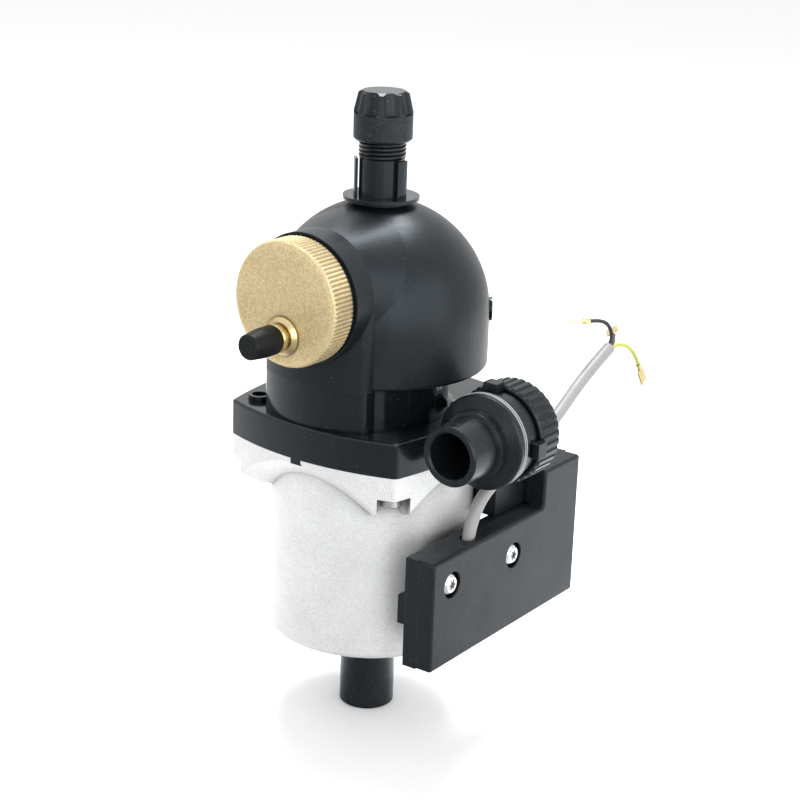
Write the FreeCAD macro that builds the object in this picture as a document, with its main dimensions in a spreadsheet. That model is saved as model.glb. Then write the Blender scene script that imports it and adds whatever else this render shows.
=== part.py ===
import FreeCAD, Part
import math
import os

import Sketcher

from FreeCAD import Placement, Rotation, Vector

# Circulation pump with an air separator dome, an automatic vent and a control box.
# The origin is the centre of the inlet tube's mouth; Z runs up the motor axis,
# -Y is the side of the brass vent cover and +X the side of the control box.

doc = FreeCAD.newDocument("circulation_pump")
sheet = doc.addObject("Spreadsheet::Sheet", "sizes")

SIZES = {
    "motor": {
        "motor_radius": 48.0, "motor_height": 93.9, "motor_floor": 5.0, "motor_round": 2.5,
        "stator_radius": 43.3, "stator_bore": 20.9, "stator_level": 30.0, "coil_room": 1.5,
        "ledge_width": 2.5, "slot_outer": 37.0, "tooth_width": 9.0, "shoe_depth": 2.5,
        "shoe_width": 15.0, "pole_count": 6.0, "coil_build": 4.2, "coil_overhang": 5.0,
        "coil_spread": 3.0, "cover_recess_width": 2.0,
    },
    "flange": {
        "flange_half": 46.3, "front_reach": 55.0, "side_reach": 52.0, "flange_corner": 3.0,
        "flange_round": 1.2, "ear_depth": 22.0, "ear_seat": 10.4, "screw_offset": 37.5,
        "screw_radius": 3.0, "screw_length": 20.0, "head_radius": 4.9, "head_height": 5.8,
        "socket_radius": 2.5, "ear_pocket_radius": 7.4, "ear_mouth_length": 24.0,
        "arch_drop": 87.6, "arch_spread": 31.0, "arch_foot": 16.0, "arch_past": 14.0,
    },
    "inlet": {
        "inlet_reach": 43.3, "inlet_radius": 12.9, "inlet_bore": 9.5, "collar_radius": 22.0,
        "collar_thickness": 3.0, "cup_radius": 17.0, "cup_height": 13.0, "inlet_chamfer": 0.8,
        "inlet_register": 13.3, "register_gap": 0.3, "foot_seal_height": 2.2,
    },
    "rotor": {
        "shaft_radius": 10.0, "shaft_bore": 7.0, "magnet_radius": 19.4, "magnet_overhang": 3.0,
        "can_radius": 20.0, "can_wall": 0.5, "bush_radius": 14.0, "bush_length": 9.0,
        "washer_thickness": 2.0, "plate_sheet": 1.2, "can_sheet": 0.8, "running_gap": 0.05,
        "magnet_gap": 2.2, "magnet_bevel": 0.8, "bush_recess": 2.0, "shaft_lift": 1.5,
        "plate_lip": 1.6,
    },
    "impeller": {
        "impeller_radius": 29.0, "impeller_lift": 1.2, "back_disc": 2.0, "blade_height": 5.0,
        "front_disc": 1.6, "blade_thickness": 1.6, "blade_radius": 22.0, "eye_radius": 12.0,
        "blade_count": 7.0, "blade_circle": 18.0, "blade_turn": 62.0, "blade_sweep": 84.0,
        "shroud_edge": 1.0,
    },
    "housing": {
        "plate_thickness": 15.9, "neck_height": 18.6, "neck_radius": 33.0, "neck_swell": 40.0,
        "neck_shift": 12.0, "volute_radius": 32.0, "volute_growth": 1.0, "volute_depth": 12.0,
        "chamber_radius": 29.0, "gasket_thickness": 0.5, "gasket_width": 5.0, "rim_thickness": 4.0,
        "transfer_radius": 3.0, "transfer_count": 6.0, "transfer_circle": 20.0, "boss_radius": 5.0,
        "boss_height": 2.2, "tab_width": 5.6, "tab_depth": 2.5, "tab_shift": 2.0, "tab_sheet": 1.6,
        "neck_foot": 3.0, "nut_room": 0.4,
    },
    "dome": {
        "dome_radius": 50.4, "dome_straight": 23.5, "dome_wall": 3.0, "dome_edge": 1.6,
        "face_radius": 28.8, "face_proud": 3.0, "face_lift": 38.6, "barrel_length": 10.9,
        "shoulder_step": 0.3, "shoulder_back": 10.0, "shoulder_sink": 1.4, "pad_round": 6.0,
        "collar_outer": 12.8, "collar_depth": 8.0, "plug_radius": 5.5, "plug_step": 1.5,
        "plug_proud": 1.0, "plug_level": 24.5, "plug_angle": 36.9, "ring_section": 1.1,
    },
    "vent": {
        "cover_radius": 27.7, "cover_thickness": 14.0, "cover_bevel": 1.8, "cover_bevel_mid": 1.1,
        "cover_bevel_width": 2.9, "knurl_count": 90.0, "knurl_depth": 0.7, "cover_spigot": 23.0,
        "cover_spigot_length": 9.4, "cover_cavity": 19.5, "cover_face": 5.4, "ring_thickness": 1.2,
        "nipple_drop": 13.6, "nipple_base": 8.5, "nipple_base_height": 2.6, "nipple_radius": 4.0,
        "nipple_length": 11.0, "nipple_bore": 1.5, "vent_cap_radius": 6.45, "vent_cap_skirt": 7.0,
        "vent_cap_tip": 5.6, "vent_cap_length": 15.5, "vent_seal_depth": 1.6, "vent_cap_gap": 4.7,
        "nipple_neck": 4.6, "nipple_groove": 1.2, "nipple_collar": 6.2, "nipple_collar_end": 3.4,
    },
    "float": {
        "float_radius": 21.0, "float_height": 26.0, "float_centre": 5.0, "lever_arm": 6.0,
        "lever_width": 9.0, "lever_thickness": 3.0, "pivot_back": 4.5, "pivot_radius": 1.2,
        "float_drop": 12.0, "float_hang": 6.5, "float_round": 3.0, "hub_radius": 2.8,
        "fork_rise": 2.2, "strip_width": 6.0, "strip_depth": 2.4, "strip_grip": 7.0,
        "bracket_width": 14.0, "bracket_sheet": 1.2, "bracket_height": 6.5, "bracket_drop": 3.5,
        "bracket_ear": 6.0, "valve_radius": 1.2, "valve_disc": 2.8, "valve_disc_sheet": 1.6,
        "valve_collar": 2.6, "valve_collar_sheet": 0.8, "valve_tip": 5.0,
    },
    "port": {
        "disc_radius": 17.1, "disc_thickness": 1.6, "stub_radius": 10.1, "stub_length": 16.5,
        "thread_radius": 10.3, "thread_length": 17.8, "port_bore": 6.5, "port_spigot": 10.8,
        "spigot_depth": 9.0, "groove_drop": 5.0, "groove_section": 1.0, "arm_radius": 12.4,
        "arm_sheet": 1.3, "arm_height": 16.5, "arm_sweep": 28.0, "right_arm": -4.5,
        "left_arm": -138.5, "cap_radius": 13.05, "cap_skirt": 12.8, "cap_height": 21.6,
        "cap_bevel": 1.0, "cap_top": 11.2, "cap_disc": 9.5, "cap_gap": 8.0, "cap_flutes": 8.0,
        "cap_phase": 8.3, "cap_gasket": 2.0, "gasket_bore": 4.5, "thread_bevel": 1.0,
        "flute_radius": 6.0, "flute_depth": 1.5,
    },
    "outlet": {
        "outlet_side": 74.7, "outlet_lift": 17.9, "spigot_radius": 13.3, "spigot_bore": 10.05,
        "spigot_length": 16.4, "shoulder_radius": 15.2, "shoulder_length": 6.7,
        "shoulder_slope": 2.2, "rim_radius": 21.1, "rim_depth": 3.0, "rib_step": 1.3,
        "mouth_front": 48.9, "tail_radius": 13.8, "tail_flange": 16.8, "tail_flange_depth": 2.5,
        "seal_sheet": 0.8, "seal_gap": 0.5, "lock_lip": 2.2, "nut_bevel": 1.2, "mouth_depth": 4.0,
        "lock_radius": 19.6, "lock_width": 9.6, "lug_reach": 24.2, "lug_width": 6.6,
        "lug_depth": 6.2, "top_lug_shift": 2.0, "side_lug_shift": 1.0, "nut_radius": 22.2,
        "nut_width": 14.5, "nut_ribs": 36.0, "nut_rib_depth": 0.8, "nut_lip": 2.0,
        "face_seal": 1.5, "head_radius_elbow": 17.5, "elbow_radius": 9.0, "elbow_bore": 6.5,
        "elbow_bend": 12.0, "elbow_back": 17.3, "port_side": 51.0, "port_lift": 10.8,
        "port_wall": 2.3, "elbow_seat": 8.0,
    },
    "box": {
        "box_inner": 52.8, "box_split": 6.9, "box_depth": 15.0, "box_front": 46.0,
        "box_back": 73.0, "box_foot": 8.3, "box_top": 34.3, "box_step": 42.45, "box_high": 16.1,
        "box_wall": 2.0, "box_round": 1.5, "recess_radius": 6.1, "recess_depth": 2.4,
        "box_screw_head": 4.9, "box_screw_head_height": 2.6, "box_screw_radius": 2.0,
        "box_screw_length": 9.0, "screw_front": 31.5, "screw_step": 1.0, "star_depth": 1.3,
        "star_span": 4.6, "star_width": 1.2, "screw_back": 17.9, "screw_drop": 49.0,
        "post_radius": 4.0, "board_thickness": 1.6, "board_lift": 3.2, "saddle_half": 16.0,
        "saddle_height": 30.0, "saddle_foot": 11.9, "clip_front": 42.5, "clip_width": 4.0,
        "clip_foot": 25.8, "clip_height": 13.4, "clip_reach": 6.0, "duct_front": 18.0,
        "duct_reach": 56.5, "duct_height": 17.0, "lead_way_radius": 3.4, "saddle_root": 44.0,
        "arm_root": 37.4, "well_wall": 1.5, "head_shoulder": 1.2, "head_crown": 3.5,
        "head_crown_height": 2.3, "pad_radius": 2.5, "pad_inset": 6.0, "lead_entry": 4.0,
        "lead_pitch": 2.1, "lead_radius": 0.85,
    },
    "board": {
        "board_room": 1.0, "parts_level": 18.0, "choke_rise": 6.2, "choke_width": 16.0,
        "choke_length": 15.0, "choke_side": 30.0, "choke_level": -4.0, "driver_rise": 3.2,
        "driver_width": 11.0, "driver_length": 9.0, "driver_side": -20.0, "driver_level": -6.0,
        "chip_rise": 1.6, "chip_width": 9.0, "chip_length": 9.0, "chip_side": -36.0,
        "chip_level": -4.0, "relay_rise": 6.0, "relay_width": 10.0, "relay_length": 15.0,
        "relay_side": 56.0, "relay_level": 8.0, "clamp_rise": 6.0, "clamp_width": 16.0,
        "clamp_length": 7.0, "clamp_drop": 9.0, "can_size": 3.0, "can_length": 15.0,
        "can_level": -8.0, "first_can": 4.0, "second_can": 10.5,
    },
    "cable": {
        "sheath_radius": 3.0, "exit_front": 10.6, "exit_side": 61.0, "exit_gap": 1.2,
        "gland_wall": 1.6, "gland_depth": 5.0, "wire_radius": 0.95, "wire_run": 2.4,
        "tag_width": 6.3, "tag_length": 7.0, "tag_sheet": 0.8, "crimp_radius": 1.5,
        "crimp_length": 3.0,
    },
    "fits": {
        "play": 0.3, "slip": 0.1, "bevel": 0.8, "small_bevel": 0.6,
    },
}


class Size:
    """A number together with the expression that the document keeps for it."""

    def __init__(self, value, text):
        self.value = value
        self.text = text

    def __float__(self):
        return self.value

    def combine(self, other, sign, value):
        return Size(value, "(%s %s %s)" % (self.text, sign, other.text))

    def __add__(self, other):
        other = sized(other)
        return self.combine(other, "+", self.value + other.value)

    def __sub__(self, other):
        other = sized(other)
        return self.combine(other, "-", self.value - other.value)

    def __mul__(self, other):
        other = sized(other)
        return self.combine(other, "*", self.value * other.value)

    def __truediv__(self, other):
        other = sized(other)
        return self.combine(other, "/", self.value / other.value)

    def __radd__(self, other):
        return sized(other) + self

    def __rsub__(self, other):
        return sized(other) - self

    def __rmul__(self, other):
        return sized(other) * self

    def __neg__(self):
        return sized(0) - self


def sized(thing):
    if isinstance(thing, Size):
        return thing
    return Size(float(thing), "%.6g" % float(thing))


class Sheet:
    """Names of the spreadsheet's cells as attributes."""


size = Sheet()
row = 1
for group, cells in SIZES.items():
    sheet.set("A%d" % row, group)
    row += 1
    for alias, number in cells.items():
        sheet.set("A%d" % row, alias.replace("_", " "))
        sheet.set("B%d" % row, str(number))
        sheet.setAlias("B%d" % row, alias)
        setattr(size, alias, Size(number, "sizes.%s" % alias))
        row += 1
doc.recompute()

# Levels up the motor axis.
floor_z = size.inlet_reach
joint_z = floor_z + size.motor_height
plate_z = joint_z + size.plate_thickness
split_z = plate_z + size.neck_height
dome_z = split_z + size.dome_straight
vent_z = split_z + size.face_lift
crown_z = dome_z + size.dome_radius
face_reach = size.dome_radius + size.face_proud

UP = Rotation()
FRONT = Rotation(Vector(1, 0, 0), 90)
BACK = Rotation(Vector(1, 0, 0), -90)
SIDE = Rotation(Vector(0, 1, 0), 90)
# Slack for picking edges by where they lie.
NEAR = 0.05

nodes = []
used = {}


def fresh(name):
    used[name] = used.get(name, 0) + 1
    return name if used[name] == 1 else "%s_%d" % (name, used[name])


def bind(thing, prop, value):
    value = sized(value)
    if "sizes." in value.text:
        thing.setExpression(prop, value.text)


def place(thing, at=(0, 0, 0), turn=UP):
    """Sets where a thing stands; each coordinate stays bound to the sheet."""
    x, y, z = (sized(number) for number in at)
    thing.Placement = Placement(Vector(x.value, y.value, z.value), turn)
    for axis, number in zip("xyz", (x, y, z)):
        bind(thing, "Placement.Base.%s" % axis, number)
    return thing


def primitive(kind, name, sizes, at, turn):
    thing = doc.addObject("Part::%s" % kind, fresh(name))
    for prop, value in sizes.items():
        setattr(thing, prop, float(value))
        bind(thing, prop, value)
    return place(thing, at, turn)


def rod(name, radius, height, at=(0, 0, 0), turn=UP):
    return primitive("Cylinder", name, {"Radius": radius, "Height": height}, at, turn)


def block(name, dims, at=(0, 0, 0), turn=UP):
    length, width, height = dims
    return primitive("Box", name, {"Length": length, "Width": width, "Height": height}, at, turn)


def cone(name, bottom, top, height, at=(0, 0, 0), turn=UP):
    return primitive("Cone", name, {"Radius1": bottom, "Radius2": top, "Height": height}, at, turn)


def ball(name, radius, at=(0, 0, 0)):
    return primitive("Sphere", name, {"Radius": radius}, at, UP)


def fuse(name, *things, merge=True):
    joined = doc.addObject("Part::MultiFuse", fresh(name))
    joined.Shapes = list(things)
    joined.Refine = merge
    return joined


def cut(name, base, *tools, merge=True):
    tool = tools[0] if len(tools) == 1 else fuse(name + "_tools", *tools)
    rest = doc.addObject("Part::Cut", fresh(name))
    rest.Base = base
    rest.Tool = tool
    rest.Refine = merge
    return rest


def common(name, *things, merge=True):
    shared = doc.addObject("Part::MultiCommon", fresh(name))
    shared.Shapes = list(things)
    shared.Refine = merge
    return shared


def ring(name, outer, inner, height, at=(0, 0, 0), turn=UP):
    """A plain ring; its hole is cut a little past both faces."""
    spare = 1.0
    x, y, z = at
    start = turn.multVec(Vector(0, 0, -spare))
    hole_at = (x + start.x, y + start.y, z + start.z)
    hole = rod(name + "_hole", inner, sized(height) + 2 * spare, hole_at, turn)
    return cut(name, rod(name + "_rod", outer, height, at, turn), hole)


def gather(name, things):
    """Separate solids of one kind in one node."""
    group = doc.addObject("Part::Compound", fresh(name))
    group.Links = list(things)
    return group


def piece(label, thing):
    """Names a finished piece; its file takes the same name."""
    thing.Label = label
    nodes.append(thing)
    return thing


def plane(body, role):
    for feature in body.Origin.OriginFeatures:
        if feature.Role == role:
            return feature
    raise ValueError(role)


def outline(body, role, points):
    """A closed sketch through points whose coordinates are bound to the sheet."""
    sketch = body.newObject("Sketcher::SketchObject", fresh(body.Name + "_sketch"))
    sketch.AttachmentSupport = [(plane(body, role), "")]
    sketch.MapMode = "FlatFace"
    corners = [(sized(x), sized(y)) for x, y in points]
    count = len(corners)
    for index, (x, y) in enumerate(corners):
        after = corners[(index + 1) % count]
        start = Vector(x.value, y.value, 0)
        end = Vector(after[0].value, after[1].value, 0)
        sketch.addGeometry(Part.LineSegment(start, end), False)
    for index in range(count):
        sketch.addConstraint(Sketcher.Constraint("Coincident", index, 2, (index + 1) % count, 1))
    for index, pair in enumerate(corners):
        for kind, axis, number in zip(("DistanceX", "DistanceY"), (-2, -1), pair):
            if abs(number.value) < 1e-9:
                sketch.addConstraint(Sketcher.Constraint("PointOnObject", index, 1, axis))
                continue
            spot = sketch.addConstraint(Sketcher.Constraint(kind, -1, 1, index, 1, number.value))
            if "sizes." in number.text:
                sketch.setExpression("Constraints[%d]" % spot, number.text)
    return sketch


def new_body(name):
    return doc.addObject("PartDesign::Body", fresh(name))


def turned(name, points, at=(0, 0, 0), turn=UP):
    """A piece turned about its own Z axis from (radius, height) points."""
    body = new_body(name)
    sketch = outline(body, "XZ_Plane", points)
    spin = body.newObject("PartDesign::Revolution", fresh(name + "_turn"))
    spin.Profile = sketch
    spin.ReferenceAxis = (sketch, ["V_Axis"])
    spin.Angle = 360
    sketch.Visibility = False
    body.Tip = spin
    return place(body, at, turn)


def padded(name, role, points, depth, at=(0, 0, 0), turn=UP):
    """A flat piece padded from a closed outline."""
    body = new_body(name)
    sketch = outline(body, role, points)
    pad = body.newObject("PartDesign::Pad", fresh(name + "_pad"))
    pad.Profile = sketch
    pad.Length = float(depth)
    bind(pad, "Length", depth)
    body.Tip = pad
    return place(body, at, turn)


def rounded(name, base, radius, wanted):
    """Rounds the edges that a test picks, as many as the base has."""
    doc.recompute()
    chosen = [n + 1 for n, edge in enumerate(base.Shape.Edges) if wanted(edge)]
    soft = doc.addObject("Part::Fillet", fresh(name))
    soft.Base = base
    soft.Edges = [(n, float(radius), float(radius)) for n in chosen]
    return soft


def arc_radius(half, reach):
    """Radius of an arc that meets two corners and stands out to a reach between them."""
    rise = reach - half
    return (half * half + rise * rise) / (2 * rise)


def upright(edge):
    return edge.BoundBox.XLength < NEAR and edge.BoundBox.YLength < NEAR


def flange_block(name, level, depth, room=0):
    """Square plan with four broadly curved sides, shared by the motor and the housing."""
    half = size.flange_half + room
    sides = []
    for angle in (0, 90, 180, 270):
        reach = (size.front_reach if angle % 180 else size.side_reach) + room
        radius = arc_radius(half, reach)
        away = Rotation(Vector(0, 0, 1), angle).multVec(Vector(1, 0, 0))
        back = reach - radius
        sides.append(rod(name + "_side", radius, depth, (back * away.x, back * away.y, level),
                         Rotation(Vector(0, 0, 1), angle + 180)))
    return rounded(name + "_corners", common(name + "_plan", *sides), size.flange_corner, upright)


def corners(offset):
    return [(x * offset, y * offset) for x in (1, -1) for y in (1, -1)]


def motor_housing():
    """Die-cast shell: a barrel under a flange whose four sides are scooped into arches."""
    ear_z = joint_z - size.ear_depth
    flange = flange_block("motor_flange", ear_z, size.ear_depth)
    tools = []
    near, far = size.flange_half - size.arch_foot, size.flange_half + size.arch_past
    for angle in (0, 90, 180, 270):
        away = Rotation(Vector(0, 0, 1), angle) * FRONT
        start = away.multVec(Vector(0, 0, 1))
        scoop = cone("arch", near + size.arch_spread, far + size.arch_spread, far - near,
                     (start.x * near, start.y * near, joint_z - size.arch_drop), away)
        tools.append(scoop)
    seat_z = joint_z - size.ear_seat
    pocket_depth = size.ear_depth - size.ear_seat + 1
    for x, y in corners(size.screw_offset):
        at = (x, y, seat_z - pocket_depth)
        tools.append(rod("ear_pocket", size.ear_pocket_radius, pocket_depth, at))
        turn = Rotation(Vector(0, 0, 1), math.degrees(math.atan2(y.value, x.value)))
        reach = size.ear_pocket_radius
        side = turn.multVec(Vector(0, -1, 0))
        slot_at = (x + reach * side.x, y + reach * side.y, seat_z - pocket_depth)
        tools.append(block("ear_mouth", (size.ear_mouth_length, 2 * reach, pocket_depth), slot_at, turn))
    ears = cut("ears", flange, *tools)
    barrel = rod("barrel", size.motor_radius, size.motor_height, (0, 0, floor_z))
    soft = rounded("barrel_soft", barrel, size.motor_round,
                   lambda edge: edge.BoundBox.ZMax < float(floor_z) + NEAR
                   and edge.Length > float(size.motor_radius))
    cast = fuse("motor_cast", soft, ears)
    ledge_z = floor_z + size.stator_level
    bore = size.stator_radius + size.play / 2
    hollows = [
        rod("motor_bore", bore, size.motor_height, (0, 0, ledge_z)),
        rod("motor_well", bore - size.ledge_width, size.stator_level - size.motor_floor + 1,
            (0, 0, floor_z + size.motor_floor)),
        rod("cover_recess", bore + size.cover_recess_width, size.motor_height,
            (0, 0, joint_z - recess_depth)),
        rod("inlet_hole", size.inlet_register + size.play / 3, size.motor_floor + 2, (0, 0, floor_z - 1)),
        rod("lead_hole", size.lead_way_radius, size.motor_radius, (size.stator_bore, 0, lead_z), SIDE),
    ]
    for x, y in corners(size.screw_offset):
        hollows.append(rod("screw_hole", size.screw_radius + size.play / 2, size.ear_depth,
                           (x, y, joint_z - size.ear_depth + 1)))
    tab_width = size.tab_width + size.play / 2
    notch_z = joint_z - size.tab_depth - size.play / 3
    notch_depth = size.tab_sheet + size.play + 1
    hollows.append(block("tab_notch", (tab_width, notch_depth, size.tab_depth + 1),
                         (-tab_width / 2 - size.tab_shift, -size.front_reach - 1, notch_z)))
    return piece("motor_housing", cut("motor_shell", cast, *hollows))


# Depth of the recess in the motor's top that takes the can's flange and the bearing plate.
recess_depth = size.can_sheet + size.plate_sheet + size.gasket_thickness
can_z = joint_z - recess_depth
sheet_z = can_z + size.can_sheet
gasket_z = joint_z - size.gasket_thickness
collar_z = floor_z + size.motor_floor
cup_z = collar_z + size.collar_thickness
stator_z = floor_z + size.stator_level
# The rotor runs between its two bushes, and the stator is as long as that leaves room for.
shaft_foot = cup_z + size.cup_height - size.bush_length + size.shaft_lift
upper_bush_z = gasket_z - size.bush_length - size.bush_recess
shaft_top = joint_z + size.impeller_lift + size.back_disc
magnet_top = upper_bush_z - size.plate_sheet - size.magnet_gap
stator_height = magnet_top - size.magnet_overhang - stator_z
# Where the motor's leads cross to the control box.
saddle_z = floor_z + size.saddle_foot
lead_z = saddle_z + size.saddle_height / 3


def inlet_tube():
    bush_radius = size.bush_radius + size.running_gap
    seat_z = cup_z + size.cup_height - size.bush_length
    register_z = floor_z - size.register_gap
    return piece("inlet_tube", turned("inlet_tube_form", [
        (size.inlet_bore, 0), (size.inlet_radius - size.inlet_chamfer, 0),
        (size.inlet_radius, size.inlet_chamfer), (size.inlet_radius, register_z),
        (size.inlet_register, register_z), (size.inlet_register, collar_z),
        (size.collar_radius, collar_z), (size.collar_radius, cup_z),
        (size.cup_radius, cup_z), (size.cup_radius, cup_z + size.cup_height),
        (bush_radius, cup_z + size.cup_height), (bush_radius, seat_z),
        (size.inlet_bore, seat_z)]))


def can_foot_seal():
    outer = size.can_radius
    return piece("can_foot_seal", ring("can_foot_ring", outer - size.play / 2,
                                       size.cup_radius + size.play / 2, size.foot_seal_height,
                                       (0, 0, cup_z)))


def stator():
    bars = []
    coils = []
    count = int(size.pole_count.value)
    yoke = ring("yoke", size.stator_radius, size.slot_outer, stator_height, (0, 0, stator_z))
    shoe_reach = size.stator_bore + size.shoe_depth
    half = size.tooth_width / 2
    for number in range(count):
        turn = Rotation(Vector(0, 0, 1), number * 360 / count)
        side = turn.multVec(Vector(0, 1, 0))
        along = turn.multVec(Vector(1, 0, 0))
        inner = size.stator_bore - size.shoe_depth
        bars.append(block("tooth", (size.slot_outer + 1 - inner, size.tooth_width, stator_height),
                          (inner * along.x - half * side.x, inner * along.y - half * side.y,
                           stator_z), turn))
        shoe_half = size.shoe_width / 2
        bars.append(block("shoe", (shoe_reach - inner, size.shoe_width, stator_height),
                          (inner * along.x - shoe_half * side.x, inner * along.y - shoe_half * side.y,
                           stator_z), turn))
        near = shoe_reach + size.play
        far = size.slot_outer - size.play - size.coil_room
        wide = half + size.play + size.coil_build
        low = stator_z - size.play - size.coil_overhang
        tall = stator_height + 2 * size.play + 2 * size.coil_overhang
        outer = block("coil_block", (far - near, 2 * wide, tall),
                      (near * along.x - wide * side.x, near * along.y - wide * side.y, low), turn)
        gap = half + size.play
        window_x = near - 1
        window = block("coil_window", (far - near + 2, 2 * gap, stator_height + 2 * size.play),
                       (window_x * along.x - gap * side.x, window_x * along.y - gap * side.y,
                        stator_z - size.play), turn)
        coils.append(common("coil", cut("coil_loop", outer, window), sector(number, count)))
    core = cut("core", fuse("core_parts", yoke, *bars),
               rod("core_bore", size.stator_bore, stator_height + 2, (0, 0, stator_z - 1)))
    piece("stator_core", core)
    return piece("stator_windings", gather("coils", coils))


def sector(number, count):
    """A wedge round one tooth that keeps each coil off its neighbours."""
    body_low = floor_z + 1
    wedge = doc.addObject("Part::Cylinder", fresh("sector"))
    wedge.Radius = float(size.slot_outer - size.play)
    bind(wedge, "Radius", size.slot_outer - size.play)
    wedge.Height = float(size.motor_height)
    bind(wedge, "Height", size.motor_height)
    wedge.Angle = 360 / count - size.coil_spread.value
    half = wedge.Angle.Value / 2
    turn = Rotation(Vector(0, 0, 1), number * 360 / count - half)
    return place(wedge, (0, 0, body_low), turn)


def rotor_can():
    top = can_z + size.can_sheet
    outer = size.can_radius + size.can_wall
    flange = size.stator_radius + size.cover_recess_width
    return piece("rotor_can", turned("rotor_can_form", [
        (size.can_radius, cup_z), (outer, cup_z), (outer, can_z), (flange, can_z),
        (flange, top), (size.can_radius, top)]))


def rotor():
    """Hollow shaft with its magnet sleeve; water rises through the shaft to the impeller."""
    piece("rotor_shaft", turned("rotor_shaft_form", [
        (size.shaft_bore, shaft_foot), (size.shaft_radius, shaft_foot),
        (size.shaft_radius, shaft_top), (size.shaft_bore, shaft_top)]))
    magnet_z = stator_z - size.magnet_overhang
    waist = size.magnet_radius - size.magnet_bevel
    piece("rotor_magnet", turned("rotor_magnet_form", [
        (size.shaft_radius, magnet_z), (waist, magnet_z),
        (size.magnet_radius, magnet_z + size.magnet_bevel),
        (size.magnet_radius, magnet_top - size.magnet_bevel), (waist, magnet_top),
        (size.shaft_radius, magnet_top)]))
    washer_z = cup_z + size.cup_height + size.play
    piece("thrust_washer", ring("thrust_ring", size.bush_radius, size.shaft_radius,
                                size.washer_thickness, (0, 0, washer_z)))


def bearings():
    inner = size.shaft_radius + size.running_gap
    foot = cup_z + size.cup_height - size.bush_length
    piece("lower_bearing", ring("lower_bush", size.bush_radius, inner, size.bush_length, (0, 0, foot)))
    piece("upper_bearing", ring("upper_bush", size.bush_radius, inner, size.bush_length,
                                (0, 0, upper_bush_z)))
    sheet_radius = size.stator_radius + size.cover_recess_width
    top = sheet_z + size.plate_sheet
    pocket = size.bush_radius + size.running_gap
    wall = pocket + size.plate_sheet
    lip = size.shaft_radius + size.plate_lip
    return piece("bearing_plate", turned("bearing_plate_form", [
        (lip, upper_bush_z - size.plate_sheet), (wall, upper_bush_z - size.plate_sheet),
        (wall, sheet_z), (sheet_radius, sheet_z), (sheet_radius, top), (pocket, top),
        (pocket, upper_bush_z), (lip, upper_bush_z)]))


def impeller():
    """Back disc with curved blades, and a front shroud that closes the channels."""
    back_z = joint_z + size.impeller_lift
    blade_z = back_z + size.back_disc
    shroud_z = blade_z + size.blade_height
    disc = ring("back_disc", size.impeller_radius, size.shaft_radius, size.back_disc,
                (0, 0, back_z))
    count = int(size.blade_count.value)
    swirl = size.blade_radius
    offset = size.blade_circle
    blades = []
    for number in range(count):
        angle = math.radians(number * 360 / count)
        centre = (offset * math.cos(angle), offset * math.sin(angle), blade_z)
        shell = ring("blade_shell", swirl, swirl - size.blade_thickness, size.blade_height, centre)
        reach = Rotation(Vector(0, 0, 1), number * 360 / count + size.blade_turn.value)
        span = sweep_wedge("blade_span", size.impeller_radius, size.blade_height, blade_z, reach,
                           size.blade_sweep.value)
        blades.append(common("blade", shell, span))
    hollow = rod("blade_eye", size.eye_radius, size.blade_height, (0, 0, blade_z))
    fan = cut("blades", fuse("blade_set", *blades), hollow)
    piece("impeller", fuse("impeller_form", disc, fan))
    return piece("impeller_shroud", turned("impeller_shroud_form", [
        (0, shroud_z), (size.impeller_radius, shroud_z),
        (size.impeller_radius, shroud_z + size.shroud_edge),
        (size.eye_radius, shroud_z + size.front_disc), (0, shroud_z + size.front_disc)]))


def sweep_wedge(name, radius, height, level, turn, angle):
    wedge = doc.addObject("Part::Cylinder", fresh(name))
    for prop, value in (("Radius", radius), ("Height", height)):
        setattr(wedge, prop, float(value))
        bind(wedge, prop, value)
    wedge.Angle = angle
    return place(wedge, (0, 0, level), turn)


def flange_screws():
    """Socket screws that come up through the motor's ears into the housing."""
    screws = []
    seat_z = joint_z - size.ear_seat
    for x, y in corners(size.screw_offset):
        head = rod("screw_head", size.head_radius, size.head_height, (x, y, seat_z - size.head_height))
        shank = rod("screw_shank", size.screw_radius, size.screw_length, (x, y, seat_z))
        key = doc.addObject("Part::Prism", fresh("screw_socket"))
        key.Polygon = 6
        key.Circumradius = size.socket_radius.value
        bind(key, "Circumradius", size.socket_radius)
        key.Height = float(size.head_height / 2)
        bind(key, "Height", size.head_height / 2)
        place(key, (x, y, seat_z - size.head_height))
        screws.append(cut("screw", fuse("screw_form", head, shank), key))
    return piece("flange_screws", gather("screw_set", screws))


# Direction and mouth of the outlet port in the housing's side.
port_run = size.outlet_side - size.port_side
port_rise = size.outlet_lift - size.port_lift
port_tilt = math.atan2(port_rise.value, port_run.value)
PORT = Vector(math.cos(port_tilt), 0, math.sin(port_tilt))
PORT_TURN = Rotation(Vector(0, 0, 1), PORT)
port_mouth = (size.port_side, size.elbow_back, joint_z + size.port_lift)
rim_radius = size.dome_radius - size.dome_wall - size.play * 2 / 3


def along_port(distance):
    return tuple(mid + step * distance for mid, step in zip(port_mouth, PORT))


def front_pad(name, level, height):
    """Convex pad under the vent: concentric with the dome, with rounded upright corners."""
    reach = face_reach - size.shoulder_step
    slab = block(name + "_slab", (2 * size.face_radius, reach, height),
                 (-size.face_radius, -reach, level))
    pad = common(name + "_plan", slab, rod(name + "_round", reach, height, (0, 0, level)))
    return rounded(name + "_soft", pad, size.pad_round,
                   lambda edge: upright(edge) and edge.BoundBox.YMax < -float(size.face_radius))


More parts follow.
